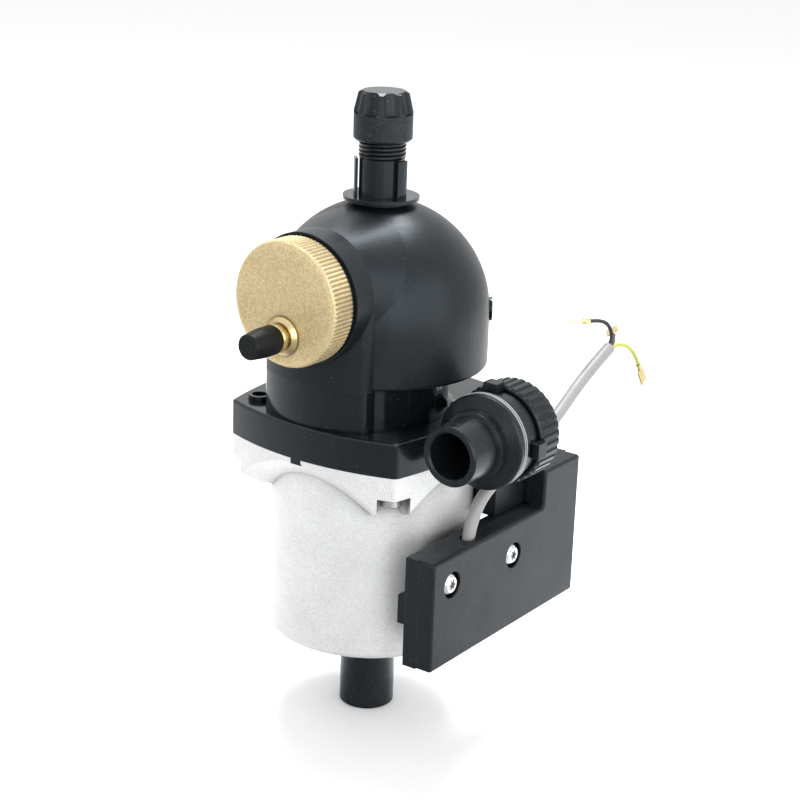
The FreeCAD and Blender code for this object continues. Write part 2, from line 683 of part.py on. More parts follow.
def pump_housing():
    """Plate, volute, outlet port, neck and the rim that carries the dome, in one moulding."""
    plate = rounded("plate_soft", flange_block("plate", joint_z, size.plate_thickness),
                    size.flange_round, lambda edge: edge.BoundBox.ZMin > float(plate_z) - NEAR)
    inside = plate_z - 1
    tall = size.neck_height + 1
    neck = rod("neck", size.neck_radius, tall, (0, 0, inside))
    swell = rod("neck_swell", size.neck_swell, tall, (0, -size.neck_shift, inside))
    foot = cone("neck_flare", size.neck_radius + size.neck_foot, size.neck_radius, size.neck_foot,
                (0, 0, plate_z))
    rim = rod("rim", rim_radius, size.rim_thickness, (0, 0, split_z))
    port_radius = size.elbow_radius + size.slip + size.port_wall
    port_depth = 3 * size.elbow_seat
    port_boss = rod("port_boss", port_radius, port_depth, along_port(-port_depth), PORT_TURN)
    lid = 2 * size.port_side
    above = block("above_joint", (lid, lid, lid), (0, -size.elbow_back, joint_z))
    port_boss = common("port_boss_trimmed", port_boss, above)
    dimple = size.boss_radius - size.tab_sheet
    ear = ring("ear_ring", size.boss_radius, dimple, size.boss_height,
               (-size.screw_offset, -size.screw_offset, plate_z))
    tab = block("locating_tab", (size.tab_width, size.tab_sheet, size.tab_depth + 1),
                (-size.tab_width / 2 - size.tab_shift, size.slip - size.front_reach,
                 joint_z - size.tab_depth))
    solid = fuse("housing_solid", plate, neck, swell, foot, front_pad("neck_pad", inside, tall), rim,
                 port_boss, ear, tab)
    roof_z = joint_z + size.volute_depth
    volute_tall = size.volute_depth + 1
    groove = size.ring_section + size.slip
    hollows = [
        rod("volute", size.volute_radius, volute_tall, (0, 0, joint_z - 1)),
        rod("volute_swell", size.volute_radius + size.volute_growth, volute_tall,
            (2 * size.volute_growth, size.volute_growth, joint_z - 1)),
        rod("chamber", size.chamber_radius, size.neck_height + size.rim_thickness + 2, (0, 0, plate_z)),
        rod("port_socket", size.elbow_radius + size.slip, 2 * size.elbow_seat,
            along_port(-size.elbow_seat), PORT_TURN),
        rod("port_bore", size.elbow_bore, port_depth, along_port(-port_depth - size.port_wall), PORT_TURN),
        rod("ear_dimple", dimple, size.boss_height + 2,
            (-size.screw_offset, -size.screw_offset, plate_z - size.boss_height)),
        ring("ring_groove", rim_radius + 1, rim_radius - 2 * size.ring_section, 2 * groove,
             (0, 0, split_z + size.rim_thickness / 2 - groove)),
        rod("nut_relief", size.nut_radius + size.nut_room, nut_end + 1, outlet(0), BACK),
    ]
    for x, y in corners(size.screw_offset):
        hollows.append(rod("thread_hole", size.screw_radius + size.slip,
                           size.screw_length - size.ear_seat + 2, (x, y, joint_z - 1)))
    count = int(size.transfer_count.value)
    for number in range(count):
        angle = 2 * math.pi * number / count
        x, y = (size.transfer_circle * wave(angle) for wave in (math.cos, math.sin))
        hollows.append(rod("transfer_hole", size.transfer_radius, size.plate_thickness / 2,
                           (x, y, roof_z - 1)))
    return piece("pump_housing", cut("housing_form", solid, *hollows))


def housing_seals():
    outer = size.stator_radius + size.cover_recess_width
    piece("housing_gasket", ring("gasket_ring", outer, outer - size.gasket_width,
                                 size.gasket_thickness, (0, 0, gasket_z)))
    seal_outer = rim_radius + size.slip
    section = 2 * size.ring_section
    piece("dome_seal", ring("dome_ring", seal_outer, seal_outer - section, section,
                            (0, 0, split_z + size.rim_thickness / 2 - size.ring_section)))


def circle(name, radius, at, turn):
    thing = doc.addObject("Part::Circle", fresh(name))
    thing.Radius = float(radius)
    bind(thing, "Radius", radius)
    return place(thing, at, turn)


def dome_shoulder():
    """Blend that runs from behind the vent's barrel up on to the crown."""
    front = circle("shoulder_front", size.face_radius - size.shoulder_step,
                   (0, size.barrel_length - face_reach, vent_z), FRONT)
    back = circle("shoulder_back", size.dome_radius - size.shoulder_sink,
                  (0, -size.shoulder_back, dome_z), FRONT)
    blend = doc.addObject("Part::Loft", fresh("shoulder_loft"))
    blend.Sections = [front, back]
    blend.Solid = True
    blend.Ruled = True
    wide = 2 * size.dome_radius
    span = block("shoulder_span", (wide, wide, wide), (-size.dome_radius, -wide, dome_z))
    return common("shoulder", blend, span, merge=False)


def dome():
    """Air separator dome with its barrelled vent face and the collar for the top port."""
    skirt = rod("skirt", size.dome_radius, size.dome_straight, (0, 0, split_z))
    low = float(split_z) + NEAR
    skirt = rounded("skirt_soft", skirt, size.dome_edge,
                    lambda edge: edge.BoundBox.ZMax < low and edge.Length > float(size.dome_radius))
    crown = ball("crown", size.dome_radius, (0, 0, dome_z))
    crown.Angle1 = 0
    face = rod("vent_face", size.face_radius, face_reach - size.shoulder_back,
               (0, -size.shoulder_back, vent_z), FRONT)
    pad = front_pad("vent_face_foot", split_z, size.face_lift)
    collar = rod("crown_collar", size.collar_outer, size.collar_depth, (0, 0, crown_z - size.collar_depth))
    # The faces aren't merged here: merging would lose the shallow seam of the shoulder.
    solid = fuse("dome_solid", skirt, crown, dome_shoulder(), face, pad, collar, merge=False)
    inner = size.dome_radius - size.dome_wall
    hollow = ball("crown_hollow", inner, (0, 0, dome_z))
    hollow.Angle1 = 0
    spigot = size.cover_spigot + size.slip
    bearing = math.radians(size.plug_angle.value)
    away = (math.cos(bearing), math.sin(bearing))
    plug_turn = Rotation(Vector(0, 0, 1), Vector(away[0], away[1], 0))
    pin_radius = size.plug_radius - size.plug_step

    def plug_rod(name, radius, start, length):
        return rod(name, radius, length, (start * away[0], start * away[1], split_z + size.plug_level),
                   plug_turn)

    hollows = [
        rod("skirt_hollow", inner, size.dome_straight + 2, (0, 0, split_z - 2)),
        hollow,
        rod("vent_bore", spigot, face_reach, (0, -size.shoulder_back - size.cover_spigot, vent_z), FRONT),
        rod("port_hole", size.port_spigot + size.slip, 2 * size.port_spigot,
            (0, 0, crown_z - size.port_spigot)),
        plug_rod("plug_hole", pin_radius + size.slip, inner - 1, 2 * size.dome_wall),
    ]
    piece("air_separator_dome", cut("dome_form", solid, *hollows, merge=False))
    plug = plug_rod("plug_head", size.plug_radius, size.dome_radius - size.play,
                    size.plug_proud + size.play)
    bed = rod("plug_bed", size.dome_radius, size.dome_straight + size.dome_radius, (0, 0, split_z))
    pin = plug_rod("plug_pin", pin_radius, inner - 1, size.dome_wall + 1 + size.slip)
    return piece("dome_plug", fuse("plug_form", cut("plug_outer", plug, bed), pin))


def facing(distance, x=0, rise=0):
    """A place on the vent cover's axis, measured outward from the dome's vent face."""
    return (x, -face_reach - distance, vent_z + rise)


def vent_cover():
    """Knurled brass cover with a threaded spigot and the cavity for the vent valve."""
    bevel = size.cover_bevel
    edge = size.small_bevel
    low = size.ring_thickness
    radius = size.cover_radius
    top = size.cover_thickness
    form = turned("cover_turning", [
        (0, top - size.cover_face), (size.cover_cavity, top - size.cover_face),
        (size.cover_cavity, -size.cover_spigot_length), (size.cover_spigot, -size.cover_spigot_length),
        (size.cover_spigot, low), (radius - edge, low), (radius, low + edge), (radius, top - bevel),
        (radius - size.cover_bevel_mid, top - edge), (radius - size.cover_bevel_width, top), (0, top)],
        facing(0), FRONT)
    knurl = doc.addObject("Part::Feature", "cover_knurl")
    count = int(size.knurl_count.value)
    points = []
    for number in range(2 * count):
        angle = math.pi * number / count
        reach = radius.value - (size.knurl_depth.value if number % 2 else 0)
        points.append(Vector(reach * math.cos(angle), reach * math.sin(angle), low.value - 1))
    points.append(points[0])
    face = Part.Face(Part.makePolygon(points))
    knurl.Shape = face.extrude(Vector(0, 0, top.value + 2))
    place(knurl, facing(0), FRONT)
    spigot = rod("spigot_keep", size.cover_spigot + size.play, size.cover_spigot_length + 2,
                 facing(-size.cover_spigot_length - 1), FRONT)
    blank = common("cover_blank", form, fuse("cover_outline", knurl, spigot))
    hole = rod("nipple_hole", size.nipple_radius + size.slip, size.cover_face + 2,
               facing(size.cover_thickness - size.cover_face - 1, 0, -size.nipple_drop), FRONT)
    piece("vent_cover", cut("cover_form", blank, hole))
    piece("vent_cover_seal", ring("cover_ring", size.cover_radius - edge, size.cover_spigot + size.slip,
                                  size.ring_thickness, facing(0), FRONT))


seat_out = size.cover_thickness - size.cover_face - 1
nipple_face = size.cover_thickness + size.nipple_base_height
nipple_end = nipple_face + size.nipple_length
cap_start = nipple_face + size.vent_cap_gap
thread_play = size.nipple_radius + size.play


def vent_outlet():
    """Nipple through the cover, and the small cap that screws on it."""
    base = size.nipple_base
    place_at = facing(0, 0, -size.nipple_drop)
    out = size.cover_thickness
    edge = size.small_bevel
    neck_end = nipple_face + size.nipple_groove
    collar_end = nipple_face + size.nipple_collar_end
    piece("vent_nipple", turned("nipple_form", [
        (size.nipple_bore, seat_out), (size.nipple_radius, seat_out), (size.nipple_radius, out),
        (base, out), (base, out + size.bevel), (base - 2 * size.bevel, nipple_face),
        (size.nipple_neck, nipple_face), (size.nipple_neck, neck_end), (size.nipple_collar, neck_end),
        (size.nipple_collar, collar_end - edge), (size.nipple_collar - edge, collar_end),
        (size.nipple_radius, collar_end), (size.nipple_radius, nipple_end - edge),
        (size.nipple_radius - edge, nipple_end), (size.nipple_bore, nipple_end)], place_at, FRONT))
    roof = nipple_end + size.play + size.vent_seal_depth
    tip = cap_start + size.vent_cap_length
    piece("vent_cap_seal", ring("cap_seal_disc", size.nipple_radius - 2 * size.slip,
                                size.nipple_bore / 2, size.vent_seal_depth,
                                facing(nipple_end + size.slip, 0, -size.nipple_drop), FRONT))
    return piece("vent_cap", turned("vent_cap_form", [
        (thread_play, cap_start), (size.vent_cap_radius, cap_start),
        (size.vent_cap_radius, cap_start + size.vent_cap_skirt), (size.vent_cap_tip, tip - edge),
        (size.vent_cap_tip - edge, tip), (0, tip), (0, roof), (thread_play, roof)], place_at, FRONT))


pivot_y = -face_reach + size.cover_spigot_length + size.pivot_back
valve_z = vent_z - size.nipple_drop
pivot_z = valve_z - size.lever_arm
lever_half = size.lever_width / 2
fork_half = size.lever_thickness / 2


def hanging(name, thing):
    """Turns a piece of the float gear down about the pivot, as it hangs in a dry pump."""
    group = gather(name, [thing])
    turn = Rotation(Vector(1, 0, 0), -size.float_drop.value)
    pivot = Vector(0, pivot_y.value, pivot_z.value)
    group.Placement = Placement(pivot - turn.multVec(pivot), turn)
    return group


def float_gear():
    """Float on its lever; as the water falls the lever draws the vent valve open."""
    arm_y = pivot_y + size.strip_depth
    arm_end = size.float_centre - size.float_radius + size.strip_grip
    pin_reach = 2 * size.bracket_width
    eye_radius = size.pivot_radius + size.running_gap
    hub = rod("lever_hub", size.hub_radius, size.lever_width, (-lever_half, pivot_y, pivot_z), SIDE)
    rise = size.lever_arm + size.fork_rise
    fork_width = size.lever_width - 1
    fork = block("lever_fork", (fork_width, size.lever_thickness, rise),
                 (-fork_width / 2, pivot_y - fork_half, pivot_z))
    strip_z = pivot_z - size.strip_depth / 2
    arm = block("lever_strip", (size.strip_width, arm_end - arm_y, size.strip_depth),
                (-size.strip_width / 2, arm_y, strip_z))
    slot_half = size.valve_radius + size.play
    slot = block("fork_slot", (2 * slot_half, 2 * size.lever_thickness, rise),
                 (-slot_half, pivot_y - size.lever_thickness, valve_z - slot_half - size.play))
    pin_hole = rod("lever_eye", eye_radius, pin_reach, (-size.bracket_width, pivot_y, pivot_z), SIDE)
    lever = cut("lever_form", fuse("lever_parts", hub, fork, arm), slot, pin_hole)
    piece("float_lever", hanging("lever_hung", lever))
    drum = rod("float_drum", size.float_radius, size.float_height,
               (0, size.float_centre, pivot_z - size.float_hang))
    soft = rounded("float_soft", drum, size.float_round,
                   lambda edge: edge.Length > float(size.float_radius) * 3)
    grip = size.slip
    pocket = block("float_pocket", (size.strip_width + 2 * grip, size.float_radius,
                                    size.strip_depth + 2 * grip),
                   (-size.strip_width / 2 - grip, arm_end - size.float_radius + grip, strip_z - grip))
    piece("vent_float", hanging("float_hung", cut("float_form", soft, pocket)))
    bracket_y = -face_reach + size.cover_spigot_length
    sheet_depth = size.bracket_sheet
    web = block("bracket_web", (size.bracket_width, sheet_depth, size.bracket_height),
                (-size.bracket_width / 2, bracket_y, pivot_z - size.bracket_drop))
    ears = []
    for x in (lever_half + size.play, -lever_half - size.play - sheet_depth):
        ears.append(block("bracket_ear", (sheet_depth, size.pivot_back + size.bracket_ear / 2,
                                          size.bracket_ear),
                          (x, bracket_y, pivot_z - size.bracket_ear / 2)))
    eye = rod("bracket_eye", eye_radius, pin_reach, (-size.bracket_width, pivot_y, pivot_z), SIDE)
    piece("lever_bracket", cut("bracket_form", fuse("bracket_parts", web, *ears), eye))
    piece("lever_pin", rod("pin_form", size.pivot_radius, size.bracket_width,
                           (-size.bracket_width / 2, pivot_y, pivot_z), SIDE))


def vent_valve():
    """Slim valve pin with two collars that the lever's fork moves between, drawn open."""
    lift = size.lever_arm * math.radians(size.float_drop.value)
    stem = size.valve_radius
    side_gap = 2 * size.play
    fork_out = -(size.cover_spigot_length + size.pivot_back) + fork_half + side_gap
    fork_in = fork_out - size.lever_thickness - 2 * side_gap
    disc = seat_out - size.valve_disc_sheet
    collar = size.valve_collar
    sheet_depth = size.valve_collar_sheet
    tip = seat_out + size.valve_tip
    piece("valve_pin", turned("valve_form", [
        (0, fork_in - sheet_depth), (collar, fork_in - sheet_depth), (collar, fork_in), (stem, fork_in),
        (stem, fork_out), (collar, fork_out), (collar, fork_out + sheet_depth),
        (stem, fork_out + sheet_depth), (stem, disc - sheet_depth), (collar, disc - sheet_depth),
        (collar, disc), (stem, disc), (stem, tip), (0, tip)],
        facing(-lift, 0, -size.nipple_drop), FRONT))
    return piece("valve_disc", ring("disc_ring", size.valve_disc, stem,
                                    size.valve_disc_sheet - size.slip,
                                    facing(disc - lift, 0, -size.nipple_drop), FRONT))


stub_z = crown_z + size.disc_thickness
thread_z = stub_z + size.stub_length
stub_top = thread_z + size.thread_length
cap_z = thread_z + size.cap_gap


def top_port():
    """Screwed port on the crown with its cover disc and two guard arms."""
    groove_z = crown_z - size.groove_drop
    section = size.groove_section
    bed = size.port_spigot - 2 * section + size.slip
    groove = section + size.slip
    foot_z = crown_z - size.spigot_depth
    form = turned("port_turning", [
        (size.port_bore, foot_z), (size.port_spigot - size.bevel, foot_z),
        (size.port_spigot, foot_z + size.bevel), (size.port_spigot, groove_z - groove),
        (bed, groove_z - groove), (bed, groove_z + groove),
        (size.port_spigot, groove_z + groove), (size.port_spigot, crown_z),
        (size.disc_radius, crown_z), (size.disc_radius, stub_z), (size.stub_radius, stub_z),
        (size.stub_radius, thread_z), (size.thread_radius, thread_z + size.small_bevel),
        (size.thread_radius, stub_top - size.thread_bevel),
        (size.thread_radius - size.thread_bevel, stub_top),
        (size.port_bore, stub_top)])
    shell = ring("arm_ring", size.arm_radius, size.arm_radius - size.arm_sheet, size.arm_height,
                 (0, 0, stub_z))
    spans = []
    for centre in (size.right_arm, size.left_arm):
        turn = Rotation(Vector(0, 0, 1), centre.value - size.arm_sweep.value / 2)
        spans.append(sweep_wedge("arm_span", size.arm_radius + 1, size.arm_height, stub_z, turn,
                                 size.arm_sweep.value))
    guard = common("guard_arms", shell, fuse("arm_spans", *spans))
    piece("port_insert", fuse("port_form", form, guard))
    return piece("port_seal", ring("port_ring", bed + 2 * section, bed, 2 * section,
                                   (0, 0, groove_z - section)))


def blanking_cap():
    """Screw cap: plain skirt below, and leaning flutes between narrow ribs above."""
    bore = size.thread_radius + size.play
    roof = stub_top + size.cap_gasket + size.slip
    top = cap_z + size.cap_height
    ledge = cap_z + size.cap_skirt
    shoulder = top - size.cap_bevel
    form = turned("cap_turning", [
        (bore, cap_z), (size.cap_radius - size.cap_bevel, cap_z), (size.cap_radius, cap_z + size.cap_bevel),
        (size.cap_radius, ledge), (size.cap_top, shoulder), (size.cap_disc, top), (0, top), (0, roof),
        (bore, roof)])
    lean = math.degrees(math.atan2((size.cap_radius - size.cap_top).value, (shoulder - ledge).value))
    reach = size.cap_radius + size.flute_radius - size.flute_depth
    count = int(size.cap_flutes.value)
    flutes = []
    for number in range(count):
        bearing = size.cap_phase.value + 360 * number / count
        turn = Rotation(Vector(0, 0, 1), bearing) * Rotation(Vector(0, 1, 0), -lean)
        angle = math.radians(bearing)
        at = (reach * math.cos(angle), reach * math.sin(angle), ledge)
        flutes.append(rod("flute", size.flute_radius, size.cap_height, at, turn))
    piece("blanking_cap", cut("cap_form", form, *flutes))
    return piece("cap_gasket", ring("cap_gasket_ring", size.thread_radius - size.play,
                                    size.gasket_bore, size.cap_gasket,
                                    (0, 0, stub_top + size.slip / 2)))


# Stations along the outlet fitting, measured back from its mouth.
step_one = size.spigot_length
step_two = step_one + size.shoulder_length
rim_end = step_two + size.rim_depth
seals_end = rim_end + 2 * size.seal_sheet + size.seal_gap
lock_start = seals_end + size.play
nut_start = lock_start + size.lock_width + size.play
tail_start = nut_start + size.nut_lip + size.slip
tail_end = tail_start + size.tail_flange_depth
head_start = tail_end + size.face_seal
nut_end = nut_start + size.nut_width


def outlet(distance=0, x=0, rise=0):
    return (size.outlet_side + x, distance - size.mouth_front, joint_z + size.outlet_lift + rise)


def outlet_fitting():
    """Hose spigot with its rim, seals, locking ring and the ribbed union nut."""
    bore = size.spigot_bore
    tail = size.tail_radius
    first = rim_end + size.seal_sheet
    rib = size.rim_radius - size.rib_step
    edge = size.bevel
    piece("outlet_spigot", turned("spigot_form", [
        (bore + edge, 0), (size.spigot_radius - edge, 0), (size.spigot_radius, edge),
        (size.spigot_radius, step_one), (size.shoulder_radius, step_one + edge),
        (size.shoulder_radius, step_two - size.shoulder_slope), (size.rim_radius - edge, step_two),
        (size.rim_radius, step_two + edge), (size.rim_radius, rim_end), (tail, rim_end),
        (tail, first), (rib, first), (rib, first + size.seal_gap), (tail, first + size.seal_gap),
        (tail, tail_start), (size.tail_flange, tail_start), (size.tail_flange, tail_end),
        (bore, tail_end), (bore, edge)], outlet(), BACK))
    seals = [ring("seal_sheet_ring", size.rim_radius, tail, size.seal_sheet, outlet(start), BACK)
             for start in (rim_end, first + size.seal_gap)]
    piece("spigot_seals", gather("seal_set", seals))
    inner = tail + size.play
    band = ring("lock_band", size.lock_radius, inner, size.lock_width, outlet(lock_start), BACK)
    front_lip = ring("lock_lip", size.rim_radius - size.play, inner, size.lock_lip,
                     outlet(lock_start), BACK)
    lugs = []
    low = size.lock_radius - 1
    deep = lock_start + size.lock_width - size.lug_depth
    wide = size.lug_width
    lugs.append(block("lug_top", (wide, size.lug_depth, size.lug_reach - low),
                      outlet(deep, -wide / 2 - size.top_lug_shift, low)))
    lugs.append(block("lug_side", (size.lug_reach - low, size.lug_depth, wide),
                      outlet(deep, low, -wide / 2 - size.side_lug_shift)))
    piece("locking_ring", fuse("lock_form", band, front_lip, *lugs))
    round_off = size.nut_bevel
    nut = turned("nut_turning", [
        (tail + size.play, nut_start), (size.nut_radius - round_off, nut_start),
        (size.nut_radius, nut_start + round_off), (size.nut_radius, nut_end - round_off),
        (size.nut_radius - round_off, nut_end), (size.head_radius_elbow + size.slip, nut_end),
        (size.head_radius_elbow + size.slip, nut_start + size.nut_lip),
        (tail + size.play, nut_start + size.nut_lip)], outlet(), BACK)
    grooves = []
    ribs = int(size.nut_ribs.value)
    for number in range(ribs):
        angle = 2 * math.pi * number / ribs
        reach = size.nut_radius + size.play
        grooves.append(rod("nut_groove", size.nut_rib_depth + size.play, size.nut_width + 2,
                           outlet(nut_start - 1, reach * math.cos(angle), reach * math.sin(angle)), BACK))
    piece("union_nut", cut("nut_form", nut, *grooves))
    piece("face_seal", ring("face_seal_ring", size.tail_flange - 2 * size.slip, bore + size.play,
                            size.face_seal, outlet(tail_end), BACK))


def rounded_path(points, radii):
    """Straight runs joined by tangent arcs, one radius for each inner point."""
    edges = []
    start = points[0]
    for before, corner, after, radius in zip(points, points[1:], points[2:], radii):
        into = (corner - before).normalize()
        away = (after - corner).normalize()
        half = into.getAngle(away) / 2
        setback = radius * math.tan(half)
        first = corner - into * setback
        last = corner + away * setback
        inward = (away - into).normalize()
        centre = corner + inward * (radius / math.cos(half))
        middle = centre - inward * radius
        edges.append(Part.LineSegment(start, first).toShape())
        edges.append(Part.Arc(first, middle, last).toShape())
        start = last
    edges.append(Part.LineSegment(start, points[-1]).toShape())
    return Part.Wire(edges)


def pipe(name, points, radii, radius):
    path = rounded_path(points, radii)
    axis = points[1] - points[0]
    section = Part.Wire(Part.makeCircle(float(radius), points[0], axis))
    thing = doc.addObject("Part::Feature", fresh(name))
    thing.Shape = path.makePipeShell([section], True, False)
    straight = math.pi * float(radius) ** 2 * path.Length
    if abs(thing.Shape.Volume - straight) > 0.01 * straight:
        raise ValueError("%s: %.1f against %.1f" % (name, thing.Shape.Volume, straight))
    return thing


def as_vector(place_at):
    return Vector(*(float(number) for number in place_at))


def outlet_elbow():
    """Elbow from the housing's side port round to the fitting's axis."""
    corner = as_vector((size.outlet_side, size.elbow_back, joint_z + size.outlet_lift))
    head_end = nut_end - size.bevel
    start = as_vector(outlet(head_start))
    foot = as_vector(along_port(-size.elbow_seat + size.slip))
    bend = [float(size.elbow_bend)]
    outer = pipe("elbow_outer", [start, corner, foot], bend, size.elbow_radius)
    head = rod("elbow_head", size.head_radius_elbow, head_end - head_start, outlet(head_start), BACK)
    inner = pipe("elbow_inner", [start - Vector(0, 1, 0), corner, foot - PORT], bend, size.elbow_bore)
    mouth_radius = size.spigot_bore + size.play
    mouth = rod("elbow_mouth", mouth_radius, size.mouth_depth + 1, outlet(head_start - 1), BACK)
    funnel = cone("elbow_funnel", mouth_radius, size.elbow_bore, size.mouth_depth,
                  outlet(head_start + size.mouth_depth), BACK)
    return piece("outlet_elbow", cut("elbow_form", fuse("elbow_solid", outer, head),
                                     inner, mouth, funnel))


# The control box stands beside the motor; its heights are measured down from the joint.
split_x = size.box_inner + size.box_split
box_low_z = floor_z + size.box_foot
box_top_z = joint_z - size.box_top
box_high_z = joint_z - size.box_high
screw_z = joint_z - size.screw_drop
screw_spots = [(-size.screw_front, screw_z + size.screw_step),
               (size.screw_back, screw_z - size.screw_step)]
cable_y = -size.exit_front
cover_x = size.box_inner + size.box_depth


def box_outline(inset):
    return [
        (-size.box_front + inset, box_low_z + inset), (size.box_back - inset, box_low_z + inset),
        (size.box_back - inset, box_high_z - inset), (size.box_step + inset, box_high_z - inset),
        (size.box_step + inset, box_top_z - inset), (-size.box_front + inset, box_top_z - inset)]


def cable_hole():
    depth = 2 * size.box_wall
    return rod("cable_hole", size.sheath_radius + size.exit_gap / 2, 2 * depth,
               (size.exit_side, cable_y, box_top_z - depth))


def box_shell():
    """Back shell with its saddle, upper arm and clip toward the motor."""
    wall = size.box_wall
    back = padded("shell_pad", "YZ_Plane", box_outline(sized(0)), size.box_split, (size.box_inner, 0, 0))
    inner_x = size.box_inner + wall
    hollow = padded("shell_hollow", "YZ_Plane", box_outline(wall), size.box_split, (inner_x, 0, 0))
    lip = size.saddle_root
    saddle = block("saddle", (inner_x - lip, 2 * size.saddle_half, size.saddle_height),
                   (lip, -size.saddle_half, saddle_z))
    near_x = size.arm_root
    arm = block("upper_arm", (size.duct_reach - near_x, size.box_step - size.duct_front, size.duct_height),
                (near_x, size.duct_front, box_top_z))
    clip = block("clip", (size.clip_reach + size.play, size.clip_width, size.clip_height),
                 (size.box_inner - size.clip_reach, -size.clip_front,
                  floor_z + size.clip_foot))
    barrel = rod("saddle_bed", size.motor_radius + size.slip / 2, size.motor_height + 2,
                 (0, 0, floor_z - 1))
    solid = cut("shell_walls", back, hollow)
    posts = []
    room = size.play / 2
    relief = flange_block("ear_relief", joint_z - size.ear_depth - room, size.ear_depth, room)
    holes = [barrel, cable_hole(), relief]
    for y, z in screw_spots:
        post = rod("post", size.post_radius, size.box_split, (size.box_inner, y, z), SIDE)
        bore = rod("post_hole", size.box_screw_radius + size.slip / 2, size.box_split,
                   (inner_x, y, z), SIDE)
        posts.append(cut("shell_post", post, bore))
    for y, z in pad_spots():
        posts.append(rod("board_pad", size.pad_radius, size.board_lift + size.play,
                         (inner_x - size.play, y, z), SIDE))
    leads = rod("lead_way", size.lead_way_radius, split_x - lip + 1, (lip, 0, lead_z), SIDE)
    parts = fuse("shell_parts", solid, saddle, arm, clip, *posts)
    return piece("box_shell", cut("shell_form", parts, *holes, leads))


def box_cover():
    """Front cover: rounded edges, two screw wells and posts that meet the shell's."""
    wall = size.box_wall
    depth = size.box_depth - size.box_split
    front = padded("cover_pad", "YZ_Plane", box_outline(sized(0)), depth, (split_x, 0, 0))
    low = float(split_x) + NEAR
    soft = rounded("cover_soft", front, size.box_round, lambda edge: edge.BoundBox.XMax > low)
    hollow = padded("cover_hollow", "YZ_Plane", box_outline(wall), depth - wall + 1, (split_x - 1, 0, 0))
    walls = cut("cover_walls", soft, hollow)
    solids = [walls]
    holes = [cable_hole()]
    well_floor = cover_x - size.recess_depth
    for y, z in screw_spots:
        solids.append(rod("well", size.recess_radius + size.well_wall,
                          size.recess_depth + wall - size.slip, (well_floor - wall, y, z), SIDE))
        solids.append(rod("cover_post", size.post_radius, well_floor - split_x, (split_x, y, z), SIDE))
        holes.append(rod("well_bore", size.recess_radius, size.recess_depth + 1, (well_floor, y, z), SIDE))
        holes.append(rod("cover_bore", size.box_screw_radius + size.slip * 2, size.box_depth,
                         (split_x - 1, y, z), SIDE))
    return piece("box_cover", cut("box_cover_form", fuse("cover_parts", *solids), *holes))


def box_screws():
    """Pan-head screws with a star recess, standing in the cover's wells."""
    screws = []
    seat = cover_x - size.recess_depth
    for y, z in screw_spots:
        head = turned("pan_head", [
            (0, -size.box_screw_length),
            (size.box_screw_radius - size.small_bevel, -size.box_screw_length),
            (size.box_screw_radius, size.bevel - size.box_screw_length), (size.box_screw_radius, 0),
            (size.box_screw_head, 0), (size.box_screw_head, size.head_shoulder),
            (size.head_crown, size.head_crown_height),
            (0, size.box_screw_head_height)], (seat, y, z), SIDE)
        star = []
        for number in range(3):
            turn = Rotation(Vector(1, 0, 0), 60 * number)
            shift = turn.multVec(Vector(0, -size.star_span.value / 2, -size.star_width.value / 2))
            at = (seat + size.box_screw_head_height - size.star_depth, y + shift.y, z + shift.z)
            star.append(block("star_arm", (2 * size.star_depth, size.star_span, size.star_width), at, turn))
        screws.append(cut("box_screw", head, *star))
    return piece("box_screws", gather("box_screw_set", screws))


def pad_spots():
    inset = size.box_wall + size.pad_inset
    low = box_low_z + inset
    high = box_top_z - inset - size.pad_inset
    front = -size.box_front + inset
    back = size.box_back - inset
    return [(front, low), (back, low), (front, high), (back, high)]


def electronics():
    wall = size.box_wall
    inset = wall + size.board_room
    board_x = size.box_inner + wall + size.board_lift
    top = box_top_z - wall - size.gland_depth - 2 * size.board_room
    high = box_high_z - inset
    points = [
        (-size.box_front + inset, box_low_z + inset), (size.box_back - inset, box_low_z + inset),
        (size.box_back - inset, high), (size.box_step + inset, high), (size.box_step + inset, top),
        (-size.box_front + inset, top)]
    board = padded("board_pad_form", "YZ_Plane", points, size.board_thickness, (board_x, 0, 0))
    through = 3 * size.board_thickness
    behind = board_x - size.board_thickness
    holes = [rod("board_hole", size.post_radius + size.play, through, (behind, y, z), SIDE)
             for y, z in screw_spots]
    holes.append(rod("lead_slot", size.lead_way_radius, through, (behind, 0, lead_z), SIDE))
    piece("circuit_board", cut("board_form", board, *holes))
    face = board_x + size.board_thickness
    mid = box_low_z + size.parts_level
    parts = [block("clamp", (size.clamp_rise, size.clamp_width, size.clamp_length),
                   (face, cable_y - size.clamp_width / 2, top - size.clamp_drop))]
    for name in ("choke", "driver", "chip", "relay"):
        rise, width, length, side, level = (
            getattr(size, name + "_" + what) for what in ("rise", "width", "length", "side", "level"))
        parts.append(block(name, (rise, width, length), (face, side, mid + level)))
    for y in (size.first_can, size.second_can):
        parts.append(rod("capacitor", size.can_size, size.can_length,
                         (face + size.can_size, y, mid + size.can_level)))
    return piece("board_parts", gather("board_part_set", parts))


def motor_leads():
    """Three winding leads through the saddle's passage to the board."""
    start = size.slot_outer - size.lead_entry
    reach = size.box_inner + size.box_wall + size.board_lift - start
    leads = []
    for number in range(3):
        y = (number - 1) * size.lead_pitch
        leads.append(rod("lead", size.lead_radius, reach, (start, y, lead_z), SIDE))
    return piece("motor_leads", gather("lead_set", leads))


gland_z = box_top_z - size.box_wall - size.play
